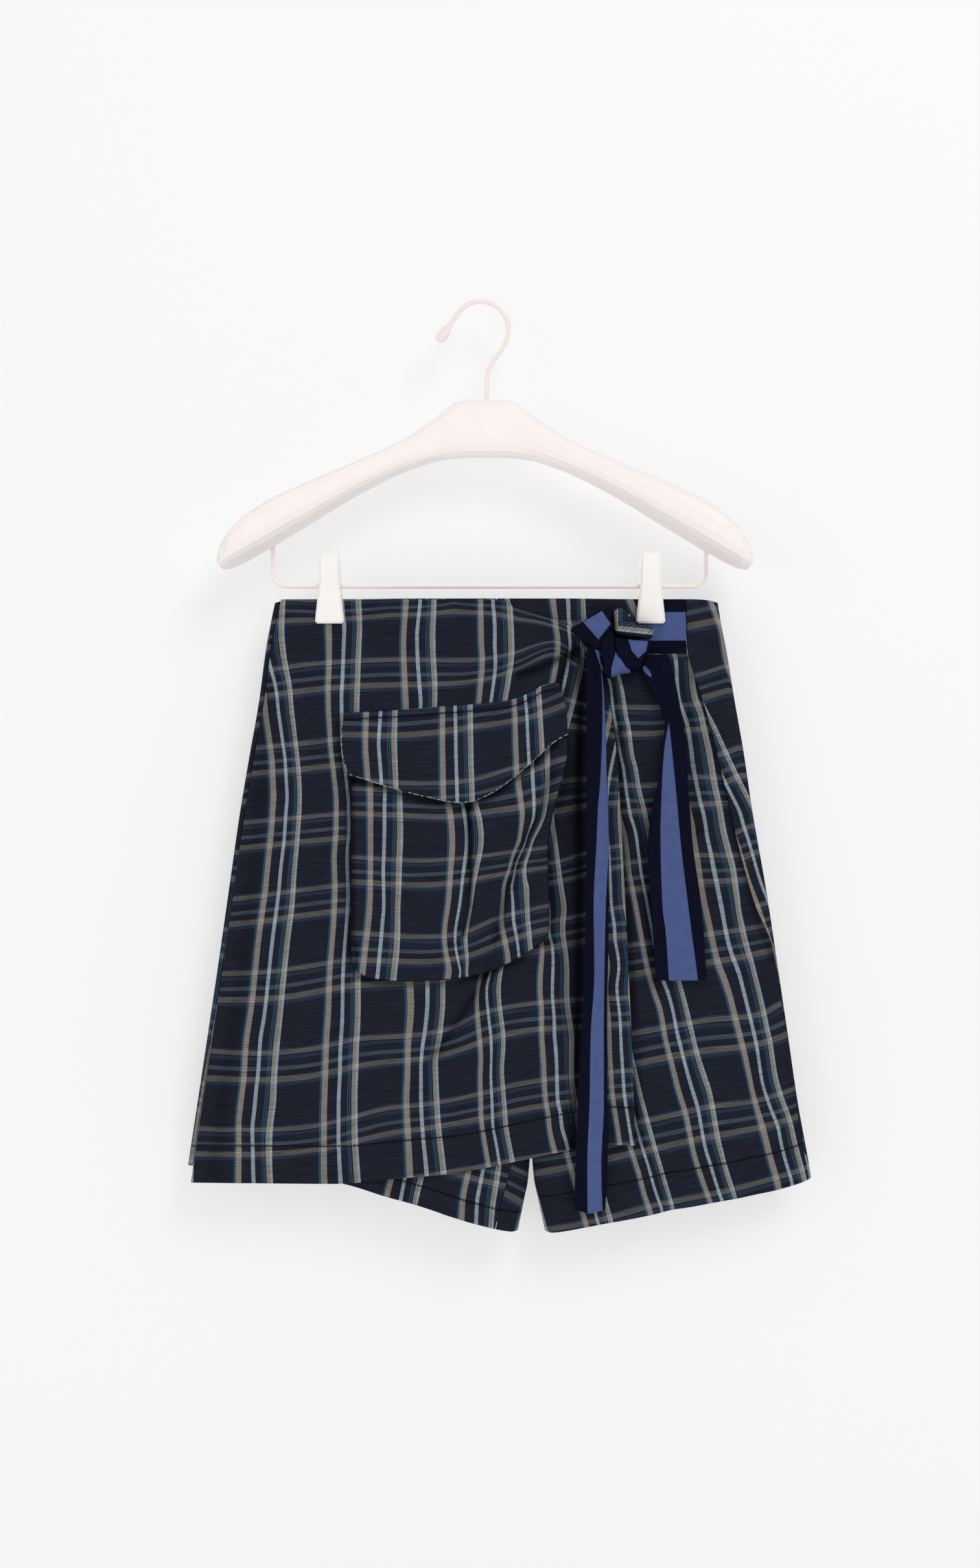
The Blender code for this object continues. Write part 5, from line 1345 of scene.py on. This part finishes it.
def build_panel(name, side, face, columns, folds, chart):
    """A front or back panel of one leg; the plaid runs on from the side fold."""
    hem_rows = LEFT_LEG_HEM if side == "left" else RIGHT_LEG_HEM
    rows = np.concatenate([np.linspace(0, 0.12, 26)[:-1], np.linspace(0.12, 1, 122)])
    samples = 400
    grid, normals, places, stitch = [], [], [], []
    for v in rows:
        start, seam = seam_places(side, v * HEM_DROP)
        if face == "front":
            w = np.linspace(start, seam, samples)
        else:
            w = np.linspace(seam, 2 + start, samples)
        hem_x = ring_x(side, front_place(w), np.full(samples, HEM_DROP))
        middle = centre_x(HEM_DROP)
        to_side = np.abs((hem_x - middle) / (outer_x(side, HEM_DROP) - middle))
        top = WAIST_CORNER * to_side**14
        hem = smooth(hem_rows, "x", "drop", hem_x)
        drop = mix(top, hem, v)
        points = ring_point(side, w, drop, folds)
        extra = np.stack([w, drop - hem + LEG_STITCH[side]], axis=1)
        along_with = (ring_normal(side, w, drop, folds), extra)
        row, row_normals, read = trimmed(points, along_with, columns, SEAM_CUT)
        grid.append(row)
        normals.append(row_normals / np.linalg.norm(row_normals, axis=1, keepdims=True))
        places.append(read[:, 0])
        stitch.append(read[:, 1])
    grid, places = np.array(grid), np.array(places)
    cloth = notes_of(chart, grid, np.array(stitch))
    run_on_behind(side, grid, places, cloth)
    shades = RIGHT_SHADES if (side, face) == ("right", "front") else ()
    notes = {"cloth": cloth, "shade": shade_notes(shades, grid)}
    obj = grid_shell(name, grid, PLAID, notes, CLOTH, normals)
    declare(obj, name.removesuffix("_cloth"))
    return obj


SIDE_TURN = 0.87


def run_on_behind(side, grid, places, cloth):
    """What faces forward keeps its chart; from the side fold on, the plaid follows the cloth's length."""
    if side == "left":
        ahead = cloth_chart(LEFT_INSEAM_WARP, LEFT_INSEAM_WEFT)
        inseam = notes_of(ahead, grid, cloth[..., 2])
        cloth[places > 2] = inseam[places > 2]
    for r in range(len(grid)):
        length = arc_length(grid[r])
        turn = float(np.interp(SIDE_TURN, places[r], length))
        along = np.maximum(length - turn, 0.0)
        u = float(np.interp(turn, length, cloth[r, :, 0]))
        v = float(np.interp(turn, length, cloth[r, :, 1]))
        behind = (places[r] > SIDE_TURN) & ((places[r] <= 2) | (side == "right"))
        cloth[r, behind, 0] = u + along[behind] * (1 if side == "right" else -1)
        cloth[r, behind, 1] = v


def build_shorts():
    left = {"front": LEFT_FRONT_FOLDS + LEFT_CREASES, "back": LEFT_BACK_FOLDS + BACK_CREASES}
    right = {"front": RIGHT_FRONT_FOLDS + RIGHT_CREASES, "back": RIGHT_BACK_FOLDS + BACK_CREASES}
    build_panel("shorts_front_left_cloth", "left", "front", 66, left, LEFT_CHART)
    build_panel("shorts_front_right_cloth", "right", "front", 80, right, RIGHT_CHART)
    build_panel("shorts_back_left_cloth", "left", "back", 80, left, LEFT_CHART)
    build_panel("shorts_back_right_cloth", "right", "back", 90, right, RIGHT_BACK_CHART)


def build_wrap():
    across_steps = 1 - (1 - np.linspace(0, 1, 130)) ** 1.1
    down_steps = np.linspace(0, 1, 165) ** 1.15
    right = edge(WRAP_RIGHT, down_steps, "drop")
    left_drop = mix(WRAP_TOP[0].drop, WRAP_HEM[0].drop, down_steps)
    left_x = smooth(OUTLINE, "drop", "left", left_drop) + SIDE_SEAM_IN + GAP / 2
    left = np.stack([left_x, left_drop], axis=-1)
    top = with_ends(edge(WRAP_TOP, across_steps, "x"), left[0], right[0])
    hem = with_ends(edge(WRAP_HEM, across_steps, "x"), left[-1], right[-1])
    places = filled(top, hem, left, right)
    grid = laid_on(over_shorts, places, 0.0)
    stitch = places[..., 1] - smooth(WRAP_HEM, "x", "drop", places[..., 0]) + WRAP_STITCH
    notes = {"cloth": notes_of(WRAP_CHART, grid, stitch), "shade": shade_notes(WRAP_SHADES, grid)}
    obj = grid_shell("wrap_panel_cloth", grid, PLAID, notes, CLOTH)
    declare(obj, "wrap_panel")
    return obj


def build_pocket():
    """The patch with its gusset, which turns back to the wrap along both sides and the bottom."""
    rows, columns = 96, 120
    across_steps = np.linspace(0, 1, columns)
    down_steps = np.linspace(0, 1, rows)
    left = edge(POCKET_LEFT, down_steps, "drop")
    right = edge(POCKET_RIGHT, down_steps, "drop")
    top = edge(POCKET_TOP, across_steps, "x")
    bottom = edge(POCKET_BOTTOM, across_steps, "x")
    places = filled(top, bottom, left, right)
    patch = laid_on(over_shorts, places, LAYER + POCKET_OUT)
    patch[..., 1] -= fold_heights((POCKET_PLEAT,), places[..., 0], places[..., 1])
    cloth = notes_of(POCKET_CHART, patch)
    shade = shade_notes(POCKET_SHADES, patch)
    border = [r * columns for r in range(rows)]
    border += [(rows - 1) * columns + c for c in range(1, columns)]
    border += [r * columns + columns - 1 for r in range(rows - 2, -1, -1)]
    points = [patch.reshape(-1, 3)]
    notes = [cloth.reshape(-1, 3)]
    shades = [shade.reshape(-1, 3)]
    faces = grid_faces(rows, columns)
    middle = places.mean(axis=(0, 1))
    rim = places.reshape(-1, 2)[border]
    previous = border
    for out, spread in GUSSET:
        points.append(laid_on(over_shorts, middle + (rim - middle) * spread, out))
        notes.append(notes[0][border])
        # The gusset's walls get an even painted shade
        shades.append(np.full((len(border), 3), GUSSET_SHADE))
        start = sum(len(group) for group in points[:-1])
        current = list(range(start, start + len(border)))
        for i in range(len(border) - 1):
            faces.append((previous[i], previous[i + 1], current[i + 1], current[i]))
        previous = current
    read = {"cloth": np.concatenate(notes), "shade": np.concatenate(shades)}
    obj = shell_object("pocket_patch_cloth", np.concatenate(points), faces, PLAID, read, CLOTH)
    declare(obj, "pocket_patch")
    return obj


def build_flap():
    down_steps = np.concatenate([np.linspace(0, FLAP_RISE, 9)[:-1], np.linspace(FLAP_RISE, 1, 22)])
    across_steps = np.linspace(0, 1, 66)
    left = edge(FLAP_LEFT, down_steps, "drop")
    right = edge(FLAP_RIGHT, down_steps, "drop")
    top = with_ends(edge(FLAP_TOP, across_steps, "x"), left[0], right[0])
    bottom = with_ends(edge(FLAP_BOTTOM, across_steps, "x"), left[-1], right[-1])
    places = filled(top, bottom, left, right)
    rise = 1 - ramp(down_steps, 0.0, FLAP_RISE)
    out = LAYER + (POCKET_OUT + LAYER + FLAP_OUT) * rise[:, None] * np.ones(len(across_steps))
    grid = laid_on(over_shorts, places, out)
    stitch = places[..., 1] - smooth(FLAP_TOP, "x", "drop", places[..., 0]) - FLAP_STITCH
    to_left = places[..., 0] - left[:, None, 0]
    to_bottom = bottom[None, :, 1] - places[..., 1]
    rim = np.zeros(grid.shape)
    rim[..., 0] = np.clip(1 - np.minimum(to_left, to_bottom) / RIM_REACH, 0, 1)
    notes = {"cloth": notes_of(FLAP_CHART, grid, stitch), "rim": rim}
    obj = grid_shell("pocket_flap_cloth", grid, PLAID, notes, CLOTH)
    declare(obj, "pocket_flap")
    return obj


BlueRow = namedtuple("BlueRow", "down left right")
LONG_TAIL_BLUE = (
    BlueRow(995, 915, 928),
    BlueRow(1040, 927, 931),
    BlueRow(1100, 929, 933),
    BlueRow(1200, 926, 935),
    BlueRow(1250, 922, 938),
    BlueRow(1300, 920, 938),
    BlueRow(1400, 915.6, 934),
    BlueRow(1500, 916.7, 932),
    BlueRow(1600, 911, 931),
    BlueRow(1700, 909.4, 931.2),
    BlueRow(1800, 905.9, 927.3),
    BlueRow(1890, 906.5, 930),
)
SHORT_TAIL_BLUE = (
    BlueRow(1011, 996, 995),
    BlueRow(1024, 993, 993),
    BlueRow(1034, 993, 1001),
    BlueRow(1042, 999, 1005),
    BlueRow(1048, 1007, 1006),
    BlueRow(1108, 1032, 1031),
    BlueRow(1150, 1026, 1036),
    BlueRow(1200, 1022, 1041),
    BlueRow(1300, 1019, 1050),
    BlueRow(1400, 1022, 1062),
    BlueRow(1440, 1027, 1067),
    BlueRow(1500, 1031, 1075),
    BlueRow(1530, 1033, 1078),
)


def ribbon_notes(s, t, outside=None):
    """Places on the ribbon, and how far they lie outside its blue middle, in millimetres."""
    s, t = np.broadcast_arrays(s, t)
    if outside is None:
        outside = np.abs(s - RIBBON_WIDTH / 2) - RIBBON_WIDTH / 2 + RIBBON_BORDER
    return np.stack([s, t, outside], axis=-1)


def outside_blue(rows, points, s, ahead):
    """The front of a folded tail has its borders where the chart shows them."""
    across_sheet, down_sheet = seen_at(points)
    left = smooth(rows, "down", "left", down_sheet)
    right = smooth(rows, "down", "right", down_sheet)
    shown = np.maximum(left - across_sheet, across_sheet - right) * CHART
    return np.where(ahead, shown, np.abs(s - RIBBON_WIDTH / 2) - RIBBON_WIDTH / 2 + RIBBON_BORDER)


def build_band():
    across_steps = np.linspace(0, 1, 26)
    down_steps = np.linspace(0, 1, 28)
    top = edge(BAND_TOP, across_steps, "x")
    bottom = edge(BAND_BOTTOM, across_steps, "x")
    left = mix(top[0], bottom[0], down_steps[:, None])
    right = mix(top[-1], bottom[-1], down_steps[:, None])
    places = filled(top, bottom, left, right)
    grid = laid_on(right_front_depth, places, LAYER)
    notes = ribbon_notes(places[..., 1], places[..., 0])
    obj = grid_shell("tie_band_knit", grid, KNIT, {"knit": notes}, CLOTH)
    declare(obj, "tie_band")
    return obj


def build_long_tail():
    """Folded lengthwise, so a section across it is a C that opens to the left."""
    t = np.linspace(0, 1, 33)
    grid, notes = [], []
    first, last = LONG_TAIL[0].drop, LONG_TAIL[-1].drop
    step = (last - first) / (LONG_TAIL_ROWS - 1)
    for drop in np.linspace(first, last, 170):
        row = {key: float(smooth(LONG_TAIL, "drop", key, drop)) for key in LongTail._fields[1:]}
        bulge = np.sin(math.pi * t) ** 0.75
        edges = mix(row["front_x"], row["back_x"], t)
        x = mix(edges, row["fold_x"], bulge)
        depth = -mix(row["front_y"], row["back_y"], t)
        slant = LONG_TAIL_END_SLANT * (drop - first) / (last - first) * (0.5 - np.abs(bulge - 0.5))
        slant = slant + LONG_TAIL_TOP_SLANT * bulge * max(0.0, 1 - (drop - first) / step)
        points = placed(x, drop + slant, depth)
        grid.append(points)
        length = arc_length(points)
        s = length / length[-1] * RIBBON_WIDTH
        outside = outside_blue(LONG_TAIL_BLUE, points, s, t <= 0.5)
        notes.append(ribbon_notes(s, np.full(len(t), drop), outside))
    obj = grid_shell("tie_tail_long_knit", grid, KNIT, {"knit": notes}, RIBBON)
    area = area_of(grid)
    area = min(area, RIBBON_WIDTH * MM * LONG_TAIL_FLAT)
    declare(obj, "tie_tail_long")
    return obj


def build_short_tail():
    """Folded behind itself near the knot, and flat at its cut end."""
    t = np.linspace(0, 1, 33)
    grid, notes = [], []
    for drop in np.linspace(SHORT_TAIL[0].drop, SHORT_TAIL[-1].drop, 110):
        row = {key: float(smooth(SHORT_TAIL, "drop", key, drop)) for key in ShortTail._fields[1:]}
        turn = mix(np.sin(math.pi * t) ** 0.8, t, row["open"])
        x = mix(row["right"], row["left"], turn / turn.max())
        behind = TAIL_BACK * t * (1 - row["open"])
        wave = TAIL_WAVE * np.sin(2.2 * math.pi * t) * row["open"]
        points = placed(x, drop, -row["y"] - behind + wave)
        grid.append(points)
        length = arc_length(points)
        s = length / length[-1] * RIBBON_WIDTH
        ahead = t <= t[np.argmax(turn)]
        outside = outside_blue(SHORT_TAIL_BLUE, points, s, ahead)
        notes.append(ribbon_notes(s, np.full(len(t), drop), outside))
    obj = grid_shell("tie_tail_short_knit", grid, KNIT, {"knit": notes}, RIBBON)
    area = area_of(grid)
    area = min(area, RIBBON_WIDTH * MM * SHORT_TAIL_FLAT)
    declare(obj, "tie_tail_short")
    return obj


def inside_by(corners, at):
    """How far places on the chart lie inside an outline, in millimetres, and less than 0 outside it."""
    corners = np.array(corners, float)
    x, y = at[..., 0], at[..., 1]
    nearest = np.full(x.shape, np.inf)
    inside = np.zeros(x.shape, bool)
    for a, b in zip(corners, np.roll(corners, -1, axis=0)):
        run = b - a
        t = np.clip(((x - a[0]) * run[0] + (y - a[1]) * run[1]) / (run @ run), 0, 1)
        nearest = np.minimum(nearest, np.hypot(x - a[0] - t * run[0], y - a[1] - t * run[1]))
        if a[1] != b[1]:
            inside ^= ((a[1] > y) != (b[1] > y)) & (x < a[0] + (y - a[1]) * run[0] / run[1])
    return np.where(inside, nearest, -nearest) * CHART


def on_sheet(flat):
    return np.stack([flat[..., 0] / CHART + CHART_ACROSS, flat[..., 1] / CHART + CHART_DOWN], axis=-1)


# The ribbon's stretches in the knot, from the lowest to the one on top, drawn on the chart
Strand = namedtuple("Strand", "shape blue level along")
STRANDS = (
    Strand(
        shape=((878, 968), (899, 955), (946, 928), (948, 965), (944, 990), (925, 1004), (884, 996)),
        blue=((899.5, 959.6), (928.6, 942.7), (942.3, 962.8), (923.3, 987)),
        level=24.6,
        along=(0.51, 0.86),
    ),
    Strand(
        shape=((990, 990), (1008, 990), (1010, 1010), (1000, 1040), (984, 1042), (985, 1015)),
        blue=((993, 1026), (994, 1044), (1007, 1046)),
        level=24.4,
        along=(0.35, 0.94),
    ),
    Strand(
        shape=((929, 987), (945.4, 972), (952, 984), (953, 1003), (974, 1034), (976, 1050), (923, 1054),
               (924.5, 1010)),
        blue=((950.3, 1005), (943.3, 1031), (943, 1050), (975, 1046), (971.8, 1032.4)),
        level=25.8,
        along=(0.05, 1.0),
    ),
    Strand(
        shape=((950, 970), (970, 970), (1010, 982), (1006.5, 1004), (993, 1027), (987, 1031), (972, 1033),
               (960, 1019), (950.7, 1003)),
        blue=((964.9, 974), (1001, 982), (997.1, 1005), (984.5, 1016), (975, 1005)),
        level=27.2,
        along=(0.54, 0.84),
    ),
)
STRAND_ROUND = 1.3
STRAND_DIP = 2.2
STRAND_CROWN = 0.5


def knot_front(flat):
    """Depth of the knot's front and the ribbon's notes there."""
    at = on_sheet(flat)
    x, drop = flat[..., 0], flat[..., 1]
    depth = np.full(x.shape, KNOT_TOP - 3.0)
    notes = np.zeros((*x.shape, 3))
    notes[..., 2] = 1.0
    for strand in STRANDS:
        edge_by = inside_by(closed_curve(strand.shape, 72), at)
        ax, ay = strand.along
        across_strand = x * ay - drop * ax
        own = strand.level - STRAND_DIP * np.exp(-np.maximum(edge_by, 0) / STRAND_ROUND)
        own = own + STRAND_CROWN * np.sin(across_strand * 0.9)
        pressed = depth - STRAND_DIP * 0.7 * np.exp(-np.maximum(-edge_by, 0) / STRAND_ROUND)
        depth = np.where(edge_by > 0, own, pressed)
        read = ribbon_notes(across_strand + 60.0, x * ax + drop * ay, -inside_by(strand.blue, at))
        notes = np.where((edge_by > 0)[..., None], read, notes)
    return depth, notes


CORNER_EDGE = ((944.5, 930), (943.5, 980))
CORNER_HEM = ((943.5, 979), (976, 982.5), (1010, 986.5))
CORNER_START = 31.0
CORNER_LEFT_START = 2.6


def corner_front(flat):
    """Depth of the wrap's corner in the knot, with its lines along its left edge and its lower edge."""
    at = on_sheet(flat)
    x, drop = flat[..., 0], flat[..., 1]
    from_left = (at[..., 0] - CORNER_EDGE[0][0]) * CHART + CORNER_LEFT_START
    hem = np.interp(at[..., 0], [p[0] for p in CORNER_HEM], [p[1] for p in CORNER_HEM])
    from_hem = (hem - at[..., 1]) * CHART
    inward = np.minimum(from_left, from_hem)
    across = CORNER_START + (x + drop) * 0.3 - 36.0
    notes = np.stack([CORNER_START - inward, across, np.full(x.shape, NO_STITCH)], axis=-1)
    return CORNER_TOP + 1.0 + fold_heights(CORNER_FOLDS, x, drop), notes


def lump(name, outline, middle, front, material, key):
    """Bunched cloth: a shaped front inside an outline, and a back that follows what it rests on."""
    rim = closed_curve(outline, LUMP_SPOKES)
    middle = np.array(middle, float)
    rings = [middle[None]] + [middle + (rim - middle) * rho for rho in LUMP_RINGS]
    flat = np.concatenate(rings)
    raised, notes = front(flat)
    fades = np.concatenate([[1.0]] + [np.full(LUMP_SPOKES, (1 - rho**9) ** 0.5) for rho in LUMP_RINGS])
    seat = knot_seat(flat[:, 0], flat[:, 1]) + LUMP_EDGE
    points = [placed(flat[:, 0], flat[:, 1], mix(seat, np.maximum(raised, seat), fades))]
    for rho in LUMP_BACK_RINGS:
        at = middle + (rim - middle) * rho
        points.append(placed(*at.T, knot_seat(*at.T)))
    points.append(placed(*middle, float(knot_seat(*middle)))[None])
    points = np.concatenate(points)
    notes = np.concatenate([notes, np.repeat(notes[:1], len(points) - len(notes), axis=0)])
    rings = len(LUMP_RINGS) + len(LUMP_BACK_RINGS)
    faces = []
    for i in range(LUMP_SPOKES):
        j = (i + 1) % LUMP_SPOKES
        faces.append((0, 1 + i, 1 + j))
        for r in range(rings - 1):
            start = 1 + r * LUMP_SPOKES
            faces.append((start + i, start + LUMP_SPOKES + i, start + LUMP_SPOKES + j, start + j))
        last = 1 + (rings - 1) * LUMP_SPOKES
        faces.append((last + i, len(points) - 1, last + j))
    return mesh_object(name, points, faces, material, {key: notes})


def build_knot():
    knot = lump("tie_knot_knit", KNOT_OUTLINE, KNOT_MIDDLE, knot_front, KNIT, "knit")
    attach(knot, "root")
    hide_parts("tie_knot")
    corner = lump("wrap_corner_cloth", CORNER_OUTLINE, CORNER_MIDDLE, corner_front, PLAID, "cloth")
    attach(corner, "root")
    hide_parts("wrap_corner")


def finish_hanger():
    looks = {"hanger_body": PAINT, "hanger_hook": WIRE, "hanger_bar": WIRE}
    for name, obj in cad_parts.items():
        if name.startswith("clip_"):
            look = PLASTIC
        elif name in looks:
            look = looks[name]
        else:
            continue
        for slot in obj.material_slots:
            slot.material = look


# ---- Studio ----
VIEW_CENTRE = Vector((SIGHT_X * MM, 0.0, -0.3705))
VIEW_HEIGHT = 1.21
WALL_Y = 0.034
FLOOR_Z = -1.06


def stage_material():
    n = Nodes("studio_paper")
    n.shader.inputs["Base Color"].default_value = (0.42, 0.42, 0.42, 1.0)
    n.shader.inputs["Roughness"].default_value = 0.95
    n.shader.inputs["Specular IOR Level"].default_value = 0.1
    n.shader.inputs["Emission Color"].default_value = (1.0, 1.0, 1.0, 1.0)
    n.shader.inputs["Emission Strength"].default_value = 0.5
    clear = n.add("ShaderNodeBsdfTransparent")
    pick = n.add("ShaderNodeMixShader")
    side = n.add("ShaderNodeNewGeometry")
    n.tree.links.new(side.outputs["Backfacing"], pick.inputs[0])
    n.tree.links.new(n.shader.outputs[0], pick.inputs[1])
    n.tree.links.new(clear.outputs[0], pick.inputs[2])
    n.tree.links.new(pick.outputs[0], n.tree.nodes["Material Output"].inputs[0])
    return n.material


def build_stage():
    """A pale wall close behind that curves into a pale floor."""
    profile = [(WALL_Y, 1.6), (WALL_Y, FLOOR_Z + 0.25)]
    for angle in np.linspace(0, math.pi / 2, 12)[1:]:
        profile.append((WALL_Y - 0.25 * (1 - math.cos(angle)), FLOOR_Z + 0.25 * (1 - math.sin(angle))))
    profile.append((-3.2, FLOOR_Z))
    points = [(x, y, z) for y, z in profile for x in (-3.0, 3.0)]
    faces = [(2 * i, 2 * i + 2, 2 * i + 3, 2 * i + 1) for i in range(len(profile) - 1)]
    mesh = bpy.data.meshes.new("studio")
    mesh.from_pydata(points, [], faces)
    mesh.materials.append(stage_material())
    mesh.shade_smooth()
    obj = bpy.data.objects.new("studio", mesh)
    obj.visible_shadow = False
    bpy.context.collection.objects.link(obj)


def area_light(name, place, size, power, colour=(1.0, 1.0, 1.0)):
    data = bpy.data.lights.new(name, "AREA")
    data.shape = "DISK"
    data.size = size
    data.energy = power
    data.color = colour
    obj = bpy.data.objects.new(name, data)
    obj.location = place
    obj.rotation_euler = (VIEW_CENTRE - Vector(place)).to_track_quat("-Z", "Y").to_euler()
    bpy.context.collection.objects.link(obj)


def build_studio():
    build_stage()
    area_light("key", (1.1, -2.2, 1.6), 1.5, 29.5)
    area_light("fill", (-2.2, -2.2, 0.0), 2.0, 11.0)
    area_light("front", (0.2, -3.0, -0.4), 2.0, 9.0)
    area_light("back", (-0.8, 2.4, 0.8), 2.0, 30.0)
    world = bpy.data.worlds.new("studio_air")
    world.use_nodes = True
    world.node_tree.nodes["Background"].inputs[0].default_value = (1.0, 1.0, 1.0, 1.0)
    world.node_tree.nodes["Background"].inputs[1].default_value = 0.54
    bpy.context.scene.world = world
    bpy.context.scene.view_settings.view_transform = "Standard"


def build_camera():
    data = bpy.data.cameras.new("view")
    data.sensor_fit = "VERTICAL"
    data.sensor_height = 36.0
    data.lens = 36.0 * SIGHT * MM / VIEW_HEIGHT
    obj = bpy.data.objects.new("view", data)
    obj.location = VIEW_CENTRE + Vector((0.0, -SIGHT * MM, 0.0))
    obj.rotation_euler = (math.radians(90), 0.0, 0.0)
    bpy.context.collection.objects.link(obj)
    bpy.context.scene.camera = obj


build_camera()
build_shorts()
build_wrap()
build_pocket()
build_flap()
build_band()
build_long_tail()
build_short_tail()
build_knot()
finish_hanger()
build_studio()
